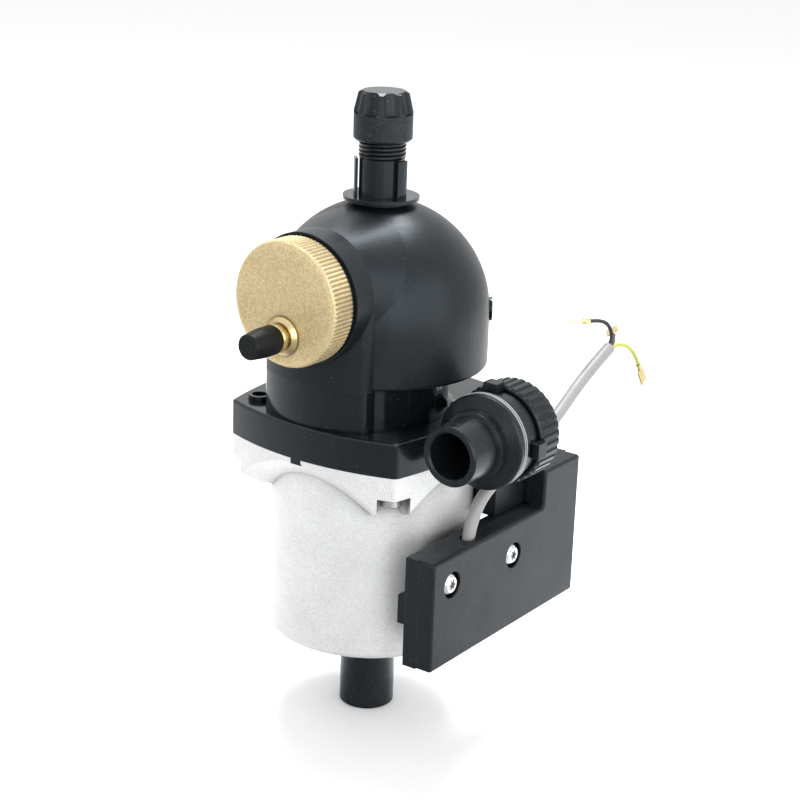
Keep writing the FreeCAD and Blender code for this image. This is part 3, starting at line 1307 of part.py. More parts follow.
# Routes of the cable and its wires, in mm, with heights from the joint of motor and housing.
CABLE = [
    Vector(61.0, -10.6, -41.6), Vector(61.0, -10.6, -33.0), Vector(61.0, -4.4, -21.0),
    Vector(61.2, 4.1, -14.8), Vector(61.5, 17.0, -9.8), Vector(61.6, 34.3, -5.0),
    Vector(61.2, 51.3, 0.4), Vector(61.0, 64.7, 7.0), Vector(61.0, 77.4, 14.8),
    Vector(61.0, 92.0, 22.0), Vector(61.0, 105.8, 27.6),
]
WIRES = {
    "wire_live": [Vector(60.9, 105.8, 28.85), Vector(60.6, 108.6, 34.2), Vector(59.0, 106.4, 39.4),
                  Vector(56.6, 101.8, 41.4), Vector(54.2, 96.6, 41.6)],
    "wire_earth": [Vector(62.15, 105.8, 27.0), Vector(62.6, 112.0, 28.4), Vector(64.6, 117.6, 26.6),
                   Vector(67.0, 121.4, 22.0), Vector(68.4, 123.0, 16.6)],
    "wire_neutral": [Vector(59.85, 105.8, 27.0), Vector(59.6, 111.6, 27.6), Vector(57.4, 116.4, 29.0),
                     Vector(54.6, 120.4, 29.4)],
}


def from_joint(point):
    return Vector(point.x, point.y, point.z + float(joint_z))


# Share of the shorter run beside a corner that its arc may use.
BEND_SHARE = 0.45


def bend_radii(points):
    """Each arc as large as its two runs allow."""
    radii = []
    for before, corner, after in zip(points, points[1:], points[2:]):
        into = corner - before
        away = after - corner
        half = into.getAngle(away) / 2
        radii.append(BEND_SHARE * min(into.Length, away.Length) / math.tan(half))
    return radii


def cable():
    points = [from_joint(point) for point in CABLE]
    points[0].z = float(gland_z - size.gland_depth)
    radii = bend_radii(points)
    piece("cable_gland", ring("gland_form", size.sheath_radius + size.gland_wall,
                              size.sheath_radius + size.slip / 2, size.gland_depth,
                              (size.exit_side, cable_y, gland_z - size.gland_depth)))
    sheath = pipe("sheath", points, radii, size.sheath_radius)
    piece("cable_sheath", sheath)
    end = points[-1]
    run = (points[-1] - points[-2]).normalize()
    tags = []
    for label, route in WIRES.items():
        spots = [from_joint(point) for point in route]
        off = spots[0] - end
        spots[0] = end + (off - run * off.dot(run))
        spots.insert(1, spots[0] + run * size.wire_run.value)
        wire = pipe(label, spots, bend_radii(spots), size.wire_radius)
        piece(label, wire)
        tags.append(wire_tag(label, spots[-1], (spots[-1] - spots[-2]).normalize()))
    return piece("wire_terminals", gather("tag_set", tags))


def wire_tag(label, at, along):
    """Crimped tag: a short barrel round the wire's end and a flat blade."""
    turn = Rotation(Vector(0, 0, 1), along)
    barrel = rod(label + "_crimp", size.crimp_radius, size.crimp_length, at, turn)
    across = turn.multVec(Vector(1, 0, 0))
    flat = turn.multVec(Vector(0, 1, 0))
    start = at + along * float(size.crimp_length - size.tag_sheet / 2)
    corner = start - across * float(size.tag_width / 2) - flat * float(size.tag_sheet / 2)
    blade = block(label + "_blade", (size.tag_width, size.tag_sheet, size.tag_length), corner, turn)
    return fuse(label + "_tag", barrel, blade)


motor_housing()
inlet_tube()
can_foot_seal()
stator()
rotor_can()
rotor()
bearings()
impeller()
flange_screws()
pump_housing()
housing_seals()
dome()
vent_cover()
vent_outlet()
float_gear()
vent_valve()
top_port()
blanking_cap()
outlet_fitting()
outlet_elbow()
box_shell()
box_cover()
box_screws()
electronics()
motor_leads()
cable()
doc.recompute()

for thing in doc.Objects:
    if "Invalid" in thing.State or "Error" in thing.State:
        raise RuntimeError("%s: %s" % (thing.Name, thing.State))
os.makedirs("parts", exist_ok=True)
for thing in nodes:
    shape = thing.Shape
    if shape.isNull() or not shape.isValid() or not shape.Solids:
        raise RuntimeError("%s has no sound shape" % thing.Label)
for thing in nodes:
    thing.Shape.exportStep("parts/%s.step" % thing.Label)
print(len(nodes), "nodes")
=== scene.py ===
"""Looks of a wet-rotor circulation pump: cast silver motor, glossy black housing and dome,
brass vent, screw-capped port, side fitting, control box and cable, on a plain pale floor."""

import math

import bpy
from mathutils import Matrix, Vector


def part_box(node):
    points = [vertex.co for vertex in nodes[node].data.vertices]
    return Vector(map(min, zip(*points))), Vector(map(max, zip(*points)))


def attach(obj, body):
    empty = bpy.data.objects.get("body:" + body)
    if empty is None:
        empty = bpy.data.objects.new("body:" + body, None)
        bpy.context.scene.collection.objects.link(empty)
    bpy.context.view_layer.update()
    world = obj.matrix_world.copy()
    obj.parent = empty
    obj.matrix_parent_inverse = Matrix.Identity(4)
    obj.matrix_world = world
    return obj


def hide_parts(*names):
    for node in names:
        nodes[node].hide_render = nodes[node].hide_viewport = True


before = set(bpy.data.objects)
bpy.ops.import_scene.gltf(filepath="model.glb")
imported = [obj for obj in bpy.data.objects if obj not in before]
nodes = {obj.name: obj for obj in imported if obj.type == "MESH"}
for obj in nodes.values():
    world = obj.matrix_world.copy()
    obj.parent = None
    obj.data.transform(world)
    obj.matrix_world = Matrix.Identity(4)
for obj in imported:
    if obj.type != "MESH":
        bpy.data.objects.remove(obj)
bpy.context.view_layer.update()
MM = 0.001


# Camera: where the photograph was taken from.
AIM = Vector((9.3, 6.6, 151.7)) * MM
CAMERA_AZIMUTH = 35.47
CAMERA_ELEVATION = 18.47
CAMERA_ROLL = 1.96
CAMERA_DISTANCE = 865.7 * MM
CAMERA_LENS = 85.06
SENSOR_WIDTH = 36
CLIP_NEAR = 0.01
CLIP_FAR = 50


def set_camera():
    azimuth = math.radians(CAMERA_AZIMUTH)
    elevation = math.radians(CAMERA_ELEVATION)
    back = Vector((math.sin(azimuth) * math.cos(elevation),
                   -math.cos(azimuth) * math.cos(elevation),
                   math.sin(elevation)))
    level = (-back).to_track_quat("-Z", "Y").to_matrix()
    turn = Matrix.Rotation(math.radians(CAMERA_ROLL), 3, back)
    camera = bpy.data.objects.new("camera", bpy.data.cameras.new("camera"))
    bpy.context.scene.collection.objects.link(camera)
    camera.rotation_mode = "QUATERNION"
    camera.rotation_quaternion = (turn @ level).to_quaternion()
    camera.location = AIM + back * CAMERA_DISTANCE
    camera.data.lens = CAMERA_LENS
    camera.data.sensor_width = SENSOR_WIDTH
    camera.data.clip_start = CLIP_NEAR
    camera.data.clip_end = CLIP_FAR
    bpy.context.scene.camera = camera


set_camera()


# Shader building

class Shading:
    """A node tree that is filled in step by step; holds a material's or a group's nodes."""

    def __init__(self, tree):
        self.tree = tree

    def put(self, socket, value):
        """Links a value that is itself a socket, or sets a plain one."""
        if isinstance(value, bpy.types.NodeSocket):
            self.tree.links.new(value, socket)
        else:
            socket.default_value = value

    def feed(self, made, name, value):
        self.put(next(entry for entry in made.inputs if entry.name == name and entry.enabled), value)

    def add(self, kind, settings=None, **values):
        """Adds a node; settings are its properties, values its inputs by name."""
        made = self.tree.nodes.new(kind)
        for key, value in (settings or {}).items():
            setattr(made, key, value)
        for key, value in values.items():
            self.feed(made, key.replace("_", " "), value)
        return made

    def group(self, tree, **values):
        return self.add("ShaderNodeGroup", {"node_tree": tree}, **values).outputs

    def math(self, operation, first, second=0.0):
        made = self.add("ShaderNodeMath", {"operation": operation})
        self.put(made.inputs[0], first)
        self.put(made.inputs[1], second)
        return made.outputs[0]

    def times(self, first, second):
        return self.math("MULTIPLY", first, second)

    def plus(self, first, second):
        return self.math("ADD", first, second)

    def minus(self, first, second):
        return self.math("SUBTRACT", first, second)

    def vector_math(self, operation, *values):
        made = self.add("ShaderNodeVectorMath", {"operation": operation})
        for socket, value in zip(made.inputs, values):
            self.put(socket, value)
        return next(entry for entry in made.outputs if entry.enabled)

    def spread(self, value, low, high, to_low=0.0, to_high=1.0):
        """Maps the range from low to high to another one and holds it at the ends."""
        made = self.add("ShaderNodeMapRange", {"clamp": True}, Value=value, From_Min=low, From_Max=high,
                        To_Min=to_low, To_Max=to_high)
        return made.outputs[0]

    def noise(self, vector, scale, detail=2.0, roughness=0.5):
        made = self.add("ShaderNodeTexNoise", Vector=vector, Scale=scale, Detail=detail, Roughness=roughness)
        return made.outputs["Fac"]

    def stretched(self, vector, scale):
        return self.add("ShaderNodeMapping", Vector=vector, Scale=scale).outputs[0]

    def mix(self, factor, first, second):
        made = self.add("ShaderNodeMix", {"data_type": "RGBA"}, Factor=factor, A=first, B=second)
        return next(entry for entry in made.outputs if entry.enabled)


def new_group(name, inputs, outputs):
    """An empty shader group with named inputs (name: default, None for a vector) and float outputs."""
    tree = bpy.data.node_groups.new(name, "ShaderNodeTree")
    for label, value in inputs.items():
        kind = "NodeSocketVector" if value is None else "NodeSocketFloat"
        made = tree.interface.new_socket(label, in_out="INPUT", socket_type=kind)
        if value is not None:
            made.default_value = value
    for label in outputs:
        tree.interface.new_socket(label, in_out="OUTPUT", socket_type="NodeSocketFloat")
    entry = tree.nodes.new("NodeGroupInput")
    leave = tree.nodes.new("NodeGroupOutput")
    return tree, Shading(tree), entry.outputs, leave.inputs


def make_grain():
    """Fine grain of a moulded or cast skin: a height, and a slow mottle of the same skin."""
    wide_scale = 0.22
    tree, build, entry, leave = new_group(
        "skin_grain", {"Vector": None, "Grain": 2500.0, "Mottle": 40.0, "Coarse": 0.3}, ("Height", "Mottle"))
    fine = build.noise(entry["Vector"], entry["Grain"], detail=3.0, roughness=0.6)
    wide = build.noise(entry["Vector"], build.times(entry["Grain"], wide_scale))
    build.put(leave["Height"], build.plus(fine, build.times(wide, entry["Coarse"])))
    slow = build.noise(entry["Vector"], entry["Mottle"], detail=4.0, roughness=0.55)
    build.put(leave["Mottle"], build.spread(slow, low=0.3, high=0.7))
    return tree


def make_handling():
    """Hairline rubs and a few specks that handling leaves on a clean part."""
    upright_stretch, level_stretch = (1.0, 1.0, 0.06), (0.08, 0.5, 1.0)
    upright_hairs, level_hairs = 12.0, 10.0
    tree, build, entry, leave = new_group(
        "handling_marks", {"Vector": None, "Rubs": 90.0, "Specks": 900.0}, ("Rub", "Speck"))
    upright = build.stretched(entry["Vector"], upright_stretch)
    level = build.stretched(entry["Vector"], level_stretch)
    first = build.noise(upright, build.times(entry["Rubs"], upright_hairs), roughness=0.6)
    second = build.noise(level, build.times(entry["Rubs"], level_hairs), roughness=0.6)
    where = build.spread(build.noise(entry["Vector"], entry["Rubs"], detail=3.0), low=0.5, high=0.72)
    lines = build.math("MAXIMUM", build.spread(first, low=0.6, high=0.75),
                       build.spread(second, low=0.62, high=0.78))
    build.put(leave["Rub"], build.times(lines, where))
    dots = build.noise(entry["Vector"], entry["Specks"], detail=1.0, roughness=0.4)
    build.put(leave["Speck"], build.spread(dots, low=0.74, high=0.8))
    return tree


def make_turning():
    """Concentric tool marks round the Z axis of the given vector."""
    across_axis, ripple_height, scratch_grain = (1, 1, 0), 0.5, 1800.0
    tree, build, entry, leave = new_group(
        "tool_marks", {"Vector": None, "Pitch": 0.0004, "Uneven": 0.3}, ("Height",))
    radius = build.vector_math("LENGTH", build.vector_math("MULTIPLY", entry["Vector"], across_axis))
    phase = build.math("DIVIDE", build.times(radius, 2 * math.pi), entry["Pitch"])
    ripple = build.times(build.math("SINE", phase), ripple_height)
    rough = build.times(build.noise(entry["Vector"], scratch_grain), entry["Uneven"])
    build.put(leave["Height"], build.plus(ripple, rough))
    return tree


def make_painted_nook_shade():
    """Painted shade from ambient occlusion: a light factor, lowest (the deepest value) in gaps, grooves and
    inner corners and one on open faces, that darkens colour and gloss where it is used.
    """
    tree, build, entry, leave = new_group("painted_nook_shade", {"Reach": 0.0015, "Deepest": 0.4}, ("Light",))
    near = build.add("ShaderNodeAmbientOcclusion", {"samples": 8}, Distance=entry["Reach"])
    build.put(leave["Light"], build.spread(near.outputs["AO"], low=0.45, high=0.95, to_low=entry["Deepest"]))
    return tree


GRAIN = make_grain()
HANDLING = make_handling()
TURNING = make_turning()
PAINTED_NOOK_SHADE = make_painted_nook_shade()

BLACK = (0, 0, 0, 1)
# Black mouldings throw back a slightly blue light.
COOL = (0.8, 0.91, 1.0, 1)
# Where the grain's height starts to lighten the skin.
GRAIN_LOW = 0.4
BROKEN_EDGE = 0.35 * MM
MOULDED_GRAIN = 1500.0
CAST_GRAIN = 3000.0


def new_material(name, **fixed):
    """A material with a Principled shader whose unchanging values are set on its own sockets."""
    material = bpy.data.materials.new(name)
    material.use_nodes = True
    build = Shading(material.node_tree)
    shader = next(entry for entry in material.node_tree.nodes if entry.type == "BSDF_PRINCIPLED")
    for key, value in fixed.items():
        shader.inputs[key.replace("_", " ")].default_value = value
    place = build.add("ShaderNodeTexCoord").outputs["Object"]
    return material, build, shader, place


def bump(build, shader, height, depth, edge=BROKEN_EDGE):
    """Fine relief over edges that are broken a little, as on any moulded or machined part."""
    soft = build.add("ShaderNodeBevel", {"samples": 6}, Radius=edge)
    made = build.add("ShaderNodeBump", Height=height, Strength=1.0, Distance=depth, Normal=soft.outputs[0])
    build.feed(shader, "Normal", made.outputs[0])


def grey(level, tint=0.0):
    """A near-neutral colour; a positive tint leans to blue."""
    return (level * (1 - tint), level, level * (1 + tint), 1)


def black_tones(level):
    """The dark and light tone of a black moulding, whose skin is a little lighter where it is thin."""
    dark_share, tint = 0.7, 0.2
    return grey(level * dark_share, tint), grey(level, tint)


def shared_tone(build, skin, grainy, mottle_share):
    """From dark to light, partly by the slow mottle and for the rest by the fine grain."""
    return build.plus(build.times(skin["Mottle"], mottle_share), build.times(grainy, 1 - mottle_share))


def plastic(name, tones, roughness, grain=MOULDED_GRAIN, depth=0.02 * MM, specks=0.3, nook=0.5, gloss=0.5,
            edge=BROKEN_EDGE, **fixed):
    """Moulded plastic: mottled colour, rubs that dull it, specks of dust and a fine skin, with painted shade
    that darkens colour and gloss in gaps and grooves.
    """
    dust_grey, gloss_swing, rub_dulls, speck_dulls = grey(0.3), 0.15, 0.12, 0.2
    material, build, shader, place = new_material(name, **fixed)
    skin = build.group(GRAIN, Vector=place, Grain=grain)
    marks = build.group(HANDLING, Vector=place)
    painted_nook_light = build.group(PAINTED_NOOK_SHADE, Deepest=nook)["Light"]
    grainy = build.spread(skin["Height"], GRAIN_LOW, high=0.9)
    clean = build.mix(shared_tone(build, skin, grainy, mottle_share=0.5), *tones)
    dusty = build.mix(build.times(marks["Speck"], specks), clean, dust_grey)
    # Painted shade: the colour goes towards black in gaps, grooves and inner corners.
    build.feed(shader, "Base Color", build.mix(painted_nook_light, BLACK, dusty))
    shine = build.spread(grainy, 0, 1, gloss * (1 - gloss_swing), gloss * (1 + gloss_swing))
    # Painted shade in reflections: the gloss is lowered in the same gaps.
    build.feed(shader, "Specular IOR Level", build.times(painted_nook_light, shine))
    rubbed = build.plus(build.spread(skin["Mottle"], 0, 1, *roughness), build.times(marks["Rub"], rub_dulls))
    build.feed(shader, "Roughness", build.plus(rubbed, build.times(marks["Speck"], speck_dulls)))
    bump(build, shader, skin["Height"], depth, edge)
    return material


def black(name, level, roughness, **fixed):
    """A black moulding with little dust and a cool gloss."""
    return plastic(name, black_tones(level), roughness, **{"specks": 0.12, "Specular_Tint": COOL, **fixed})


def metal(name, tones, roughness, grain=CAST_GRAIN, depth=0.03 * MM, coarse=0.3, reach=1.5 * MM, nook=0.45,
          neighbour_shade_reach=0.0, **fixed):
    """Cast or blasted metal: even grain, slow mottle, rubs that brighten it, and painted shade that darkens
    grooves;
    neighbour_shade_reach is how far off other pieces still cast painted shade on it."""
    neighbour_shade_deepest, rub_polishes = 0.24, 0.08
    material, build, shader, place = new_material(name, **{"Metallic": 1.0, **fixed})
    skin = build.group(GRAIN, Vector=place, Grain=grain, Coarse=coarse)
    marks = build.group(HANDLING, Vector=place)
    painted_nook_light = build.group(PAINTED_NOOK_SHADE, Reach=reach, Deepest=nook)["Light"]
    # Painted shade from nearby pieces darkens the colour further.
    if neighbour_shade_reach:
        painted_nook_light = build.times(painted_nook_light, build.group(PAINTED_NOOK_SHADE, Reach=neighbour_shade_reach, Deepest=neighbour_shade_deepest)["Light"])
    grainy = build.spread(skin["Height"], GRAIN_LOW, high=1.0)
    clean = build.mix(shared_tone(build, skin, grainy, mottle_share=0.2), *tones)
    # Painted shade: the colour goes towards black in grooves and near other pieces.
    build.feed(shader, "Base Color", build.mix(painted_nook_light, BLACK, clean))
    base = build.spread(skin["Mottle"], 0, 1, *roughness)
    build.feed(shader, "Roughness", build.minus(base, build.times(marks["Rub"], rub_polishes)))
    bump(build, shader, skin["Height"], depth)
    return material


def turned(name, tones, roughness, centre, axis, pitch, depth, **fixed):
    """Metal or plastic with concentric tool marks round an axis through the given point."""
    material, build, shader, place = new_material(name, **{"Metallic": 1.0, **fixed})
    where = build.add("ShaderNodeMapping", {"vector_type": "TEXTURE"}, Vector=place, Location=centre,
                      Rotation=Vector(axis).to_track_quat("Z", "Y").to_euler())
    rings = build.group(TURNING, Vector=where.outputs[0], Pitch=pitch)
    skin = build.group(GRAIN, Vector=place)
    build.feed(shader, "Base Color", build.mix(skin["Mottle"], *tones))
    build.feed(shader, "Roughness", build.spread(rings["Height"], -0.5, 0.8, *roughness))
    bump(build, shader, rings["Height"], depth)
    return material


def threaded(name, level, start, pitch, depth):
    """Black plastic whose skin above a level carries a winding thread: painted shade darkens the roots and
    lowers their gloss, glossy crests.
    """
    run_in, root_shade_strength, open_gloss, root_gloss_shade, skin_share = 0.5 * MM, 0.8, 0.4, 0.38, 0.02
    material, build, shader, place = new_material(name, Roughness=0.2, Specular_Tint=COOL)
    parts = build.add("ShaderNodeSeparateXYZ", Vector=place).outputs
    turn = build.math("ARCTAN2", parts["Y"], parts["X"])
    phase = build.minus(build.times(parts["Z"], 2 * math.pi / pitch), turn)
    wave = build.plus(build.times(build.math("SINE", phase), 0.5), 0.5)
    above = build.spread(parts["Z"], start, start + run_in)
    root_shade = build.times(build.minus(1.0, wave), above)
    skin = build.group(GRAIN, Vector=place, Grain=MOULDED_GRAIN)
    painted_nook_light = build.group(PAINTED_NOOK_SHADE, Deepest=0.5)["Light"]
    colour = build.mix(skin["Mottle"], *black_tones(level))
    # Painted shade: the thread's roots are darkened towards black.
    build.feed(shader, "Base Color", build.mix(build.times(root_shade, root_shade_strength), colour, BLACK))
    # Painted shade in reflections: less gloss in the roots and in gaps.
    gloss = build.minus(build.times(painted_nook_light, open_gloss), build.times(root_shade, root_gloss_shade))
    build.feed(shader, "Specular IOR Level", build.math("MAXIMUM", gloss, 0.0))
    height = build.plus(build.times(wave, above), build.times(skin["Height"], skin_share))
    bump(build, shader, height, depth)
    return material


def fluted_cap(name, step):
    """The blanking cap: a dull grainy skirt below a level and darker, glossy flutes above it, with painted
    shade deep in the grooves between the flutes.
    """
    blend, gloss, specks, dust_grey, dull, smooth = 0.2 * MM, 0.34, 0.6, grey(0.4), 0.5, 0.2
    skirt_tones = grey(0.004, 0.2), grey(0.024, 0.12)
    flute_tones = grey(0.004, 0.2), grey(0.008, 0.2)
    material, build, shader, place = new_material(name, Specular_Tint=COOL)
    parts = build.add("ShaderNodeSeparateXYZ", Vector=place).outputs
    above = build.spread(parts["Z"], step - blend, step + blend)
    skin = build.group(GRAIN, Vector=place, Grain=1400.0)
    marks = build.group(HANDLING, Vector=place)
    painted_nook_light = build.group(PAINTED_NOOK_SHADE, Reach=3 * MM, Deepest=0.05)["Light"]
    skirt = build.mix(build.spread(skin["Height"], GRAIN_LOW, high=0.9), *skirt_tones)
    flutes = build.mix(skin["Mottle"], *flute_tones)
    dusty = build.mix(build.times(marks["Speck"], specks), build.mix(above, skirt, flutes), dust_grey)
    # Painted shade: the colour goes almost to black in the flutes' grooves, and the gloss drops there too.
    build.feed(shader, "Base Color", build.mix(painted_nook_light, BLACK, dusty))
    build.feed(shader, "Specular IOR Level", build.times(painted_nook_light, gloss))
    build.feed(shader, "Roughness", build.spread(above, 0, 1, dull, smooth))
    bump(build, shader, skin["Height"], 0.08 * MM)
    return material


# Finishes: each has its two tones, and the roughness of its smooth and its rough places.

def middle(node):
    low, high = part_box(node)
    return (Vector(low) + Vector(high)) / 2


vent_middle = middle("vent_cap")
VENT_AXIS = (0, -1, 0)
THREAD_PITCH = 1.814 * MM
THREAD_LENGTH = 17.8 * MM
CAP_SKIRT = 12.8 * MM
thread_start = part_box("port_insert")[1][2] - THREAD_LENGTH
cap_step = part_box("blanking_cap")[0][2] + CAP_SKIRT

# Its colour carries painted shade in grooves and near other pieces.
cast_silver = metal("cast_silver", (grey(0.54, 0.005), grey(0.9, 0.01)), (0.32, 0.42), grain=1600.0,
                    depth=0.14 * MM, coarse=0.15, Metallic=0.38, reach=2.5 * MM, nook=0.25, neighbour_shade_reach=10 * MM)
brass_skin = metal("blasted_brass", ((0.46, 0.35, 0.17, 1), (0.95, 0.80, 0.50, 1)), (0.36, 0.48),
                   grain=1300.0, depth=0.25 * MM, coarse=0.1, Metallic=0.55, reach=2.2 * MM, nook=0.06)
nipple_brass = turned("turned_brass", ((0.62, 0.47, 0.22, 1), (0.82, 0.68, 0.40, 1)), (0.16, 0.3),
                      vent_middle, VENT_AXIS, pitch=0.5 * MM, depth=0.03 * MM)
housing_black = black("housing_black", 0.007, (0.09, 0.16), depth=0.008 * MM, nook=0.2, gloss=0.48)
dome_black = black("dome_black", 0.009, (0.32, 0.4), depth=0.03 * MM, gloss=0.34)
fitting_black = black("fitting_black", 0.009, (0.2, 0.36), depth=0.03 * MM, nook=0.1, gloss=0.36)
box_black = black("box_black", 0.011, (0.36, 0.46), depth=0.1 * MM, nook=0.1, gloss=0.32, edge=0.8 * MM)
tube_black = black("tube_black", 0.012, (0.2, 0.3), depth=0.01 * MM)
vent_cap_black = turned("vent_cap_black", (grey(0.004), grey(0.008)), (0.34, 0.5), vent_middle, VENT_AXIS,
                        pitch=2.1 * MM, depth=0.1 * MM, Metallic=0.0, Specular_IOR_Level=0.2,
                        Specular_Tint=COOL)
stub_black = threaded("stub_black", 0.012, thread_start, THREAD_PITCH, depth=0.3 * MM)
cap_black = fluted_cap("cap_black", cap_step)
screw_steel = metal("screw_steel", (grey(0.66), grey(0.82)), (0.12, 0.22), depth=0.01 * MM)
stainless = metal("stainless", (grey(0.5), grey(0.62)), (0.22, 0.32))
seal_rubber = plastic("seal_rubber", (grey(0.012), grey(0.02)), (0.5, 0.62))
seal_light = plastic("seal_light", (grey(0.22), grey(0.3)), (0.4, 0.5))
carbon = plastic("carbon", (grey(0.03), grey(0.045)), (0.3, 0.4))
magnet = metal("magnet", (grey(0.08), grey(0.12)), (0.4, 0.5))
lamination = metal("lamination", (grey(0.25), grey(0.34)), (0.35, 0.5))
copper = metal("copper_windings", ((0.45, 0.16, 0.06, 1), (0.66, 0.28, 0.12, 1)), (0.25, 0.36))
wheel_plastic = plastic("wheel_plastic", ((0.55, 0.53, 0.47, 1), (0.64, 0.62, 0.56, 1)), (0.3, 0.42))
float_plastic = plastic("float_plastic", ((0.66, 0.65, 0.6, 1), (0.74, 0.73, 0.69, 1)), (0.3, 0.42))
board_green = plastic("board_green", ((0.02, 0.13, 0.06, 1), (0.03, 0.17, 0.08, 1)), (0.25, 0.35))
board_grey = plastic("board_part_grey", (grey(0.03), grey(0.06)), (0.35, 0.5))
lead_red = plastic("lead_plastic", ((0.4, 0.1, 0.05, 1), (0.5, 0.14, 0.07, 1)), (0.35, 0.45))
sheath_grey = plastic("sheath_grey", (grey(0.22, -0.01), grey(0.3)), (0.34, 0.46), depth=0.03 * MM)
wire_dark = plastic("wire_dark", (grey(0.012, 0.1), grey(0.02, 0.1)), (0.3, 0.42))
wire_grey = plastic("wire_grey", (grey(0.018, 0.1), grey(0.03, 0.1)), (0.3, 0.42))
wire_green = plastic("wire_green", ((0.24, 0.34, 0.05, 1), (0.5, 0.48, 0.10, 1)), (0.3, 0.42))
tag_metal = metal("tag_metal", ((0.76, 0.62, 0.28, 1), (0.9, 0.78, 0.42, 1)), (0.2, 0.32), depth=0.01 * MM)

FINISHES = [
    (cast_silver, ["motor_housing"]),
    (brass_skin, ["vent_cover"]),
    (nipple_brass, ["vent_nipple"]),
    (housing_black, ["pump_housing", "dome_plug"]),
    (dome_black, ["air_separator_dome"]),
    (stub_black, ["port_insert"]),
    (fitting_black, ["outlet_spigot", "outlet_elbow", "locking_ring", "union_nut"]),
    (tube_black, ["inlet_tube"]),
    (box_black, ["box_shell", "box_cover"]),
    (cap_black, ["blanking_cap"]),
    (vent_cap_black, ["vent_cap"]),
    (screw_steel, ["flange_screws", "box_screws", "lever_pin", "valve_pin"]),
    (stainless, ["rotor_can", "bearing_plate", "rotor_shaft", "lever_bracket"]),
    (seal_rubber, ["can_foot_seal", "housing_gasket", "dome_seal", "vent_cover_seal", "vent_cap_seal",
                   "port_seal", "cap_gasket", "face_seal", "valve_disc", "cable_gland"]),
    (seal_light, ["spigot_seals"]),
    (carbon, ["lower_bearing", "upper_bearing", "thrust_washer"]),
    (magnet, ["rotor_magnet"]),
    (lamination, ["stator_core"]),
    (copper, ["stator_windings"]),
    (wheel_plastic, ["impeller", "impeller_shroud"]),
    (float_plastic, ["vent_float", "float_lever"]),
    (board_green, ["circuit_board"]),
    (board_grey, ["board_parts"]),
    (lead_red, ["motor_leads"]),
    (tag_metal, ["wire_terminals"]),
]

for finish, named in FINISHES:
    for name in named:
        for slot in nodes[name].material_slots:
            slot.material = finish


# The cable and its wires follow the route of the solids, in mm from the joint under the pump housing.
JOINT_Z = 137.2
SHEATH_RADIUS = 3.0 * MM
WIRE_RADIUS = 0.95 * MM
# How far a wire starts inside the sheath, and where it may first bend.
WIRE_TUCK = 2 * MM
WIRE_STRAIGHT = 2.4 * MM
CABLE_ROUTE = [
    (61.0, -10.6, -41.6), (61.0, -10.6, -33.0), (61.0, -4.4, -21.0), (61.2, 4.1, -14.8),
    (61.5, 17.0, -9.8), (61.6, 34.3, -5.0), (61.2, 51.3, 0.4), (61.0, 64.7, 7.0), (61.0, 77.4, 14.8),
    (61.0, 92.0, 22.0), (61.0, 105.8, 27.6),
]
WIRE_ROUTES = {
    "wire_live": [(60.9, 105.8, 28.85), (60.6, 108.6, 34.2), (59.0, 106.4, 39.4), (56.6, 101.8, 41.4),
                  (54.2, 96.6, 41.6)],
    "wire_earth": [(62.15, 105.8, 27.0), (62.6, 112.0, 28.4), (64.6, 117.6, 26.6), (67.0, 121.4, 22.0),
                   (68.4, 123.0, 16.6)],
    "wire_neutral": [(59.85, 105.8, 27.0), (59.6, 111.6, 27.6), (57.4, 116.4, 29.0),
                     (54.6, 120.4, 29.4)],
}
WIRE_FINISHES = {"wire_live": wire_dark, "wire_earth": wire_green, "wire_neutral": wire_grey}


def from_joint(point):
    return Vector((point[0], point[1], point[2] + JOINT_Z)) * MM


def smooth_line(name, points, radius, material):
    """A round cord on one smooth line through the route's control points."""
    line = bpy.data.curves.new(name, "CURVE")
    line.dimensions = "3D"
    line.bevel_depth = radius
    line.bevel_resolution = 6
    line.resolution_u = 16
    line.use_fill_caps = True
    spline = line.splines.new("NURBS")
    spline.points.add(len(points) - 1)
    for place, point in zip(spline.points, points):
        place.co = (*point, 1)
    spline.order_u = 3
    spline.use_endpoint_u = True
    line.materials.append(material)
    made = bpy.data.objects.new(name, line)
    bpy.context.scene.collection.objects.link(made)
    return made


def lay_cable():
    sheath = smooth_line("sheath", [from_joint(point) for point in CABLE_ROUTE], SHEATH_RADIUS, sheath_grey)
    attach(sheath, "pump")
    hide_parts("cable_sheath")
    end = from_joint(CABLE_ROUTE[-1])
    run = (end - from_joint(CABLE_ROUTE[-2])).normalized()
    for node, finish in WIRE_FINISHES.items():
        points = [from_joint(point) for point in WIRE_ROUTES[node]]
        off = points[0] - end
        start = end + (off - run * off.dot(run))
        points[0:1] = [start - run * WIRE_TUCK, start + run * WIRE_STRAIGHT]
        wire = smooth_line(node.replace("wire", "core"), points, WIRE_RADIUS, finish)
        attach(wire, "pump")
        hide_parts(node)


lay_cable()


# Geometry Nodes for the port's thread
THREAD_CREST = 10.55 * MM
THREAD_RIDGE = 0.8 * MM
THREAD_STEPS = 72
RIDGE_SIDES = 4


def new_shape_tree(name, inputs):
    tree = bpy.data.node_groups.new(name, "GeometryNodeTree")
    tree.interface.new_socket("Geometry", in_out="INPUT", socket_type="NodeSocketGeometry")
    for label, value in inputs.items():
        kind = "NodeSocketInt" if isinstance(value, int) else "NodeSocketFloat"
        made = tree.interface.new_socket(label, in_out="INPUT", socket_type=kind)
        made.default_value = value
    tree.interface.new_socket("Geometry", in_out="OUTPUT", socket_type="NodeSocketGeometry")
    return tree, tree.nodes.new("NodeGroupInput").outputs, tree.nodes.new("NodeGroupOutput").inputs


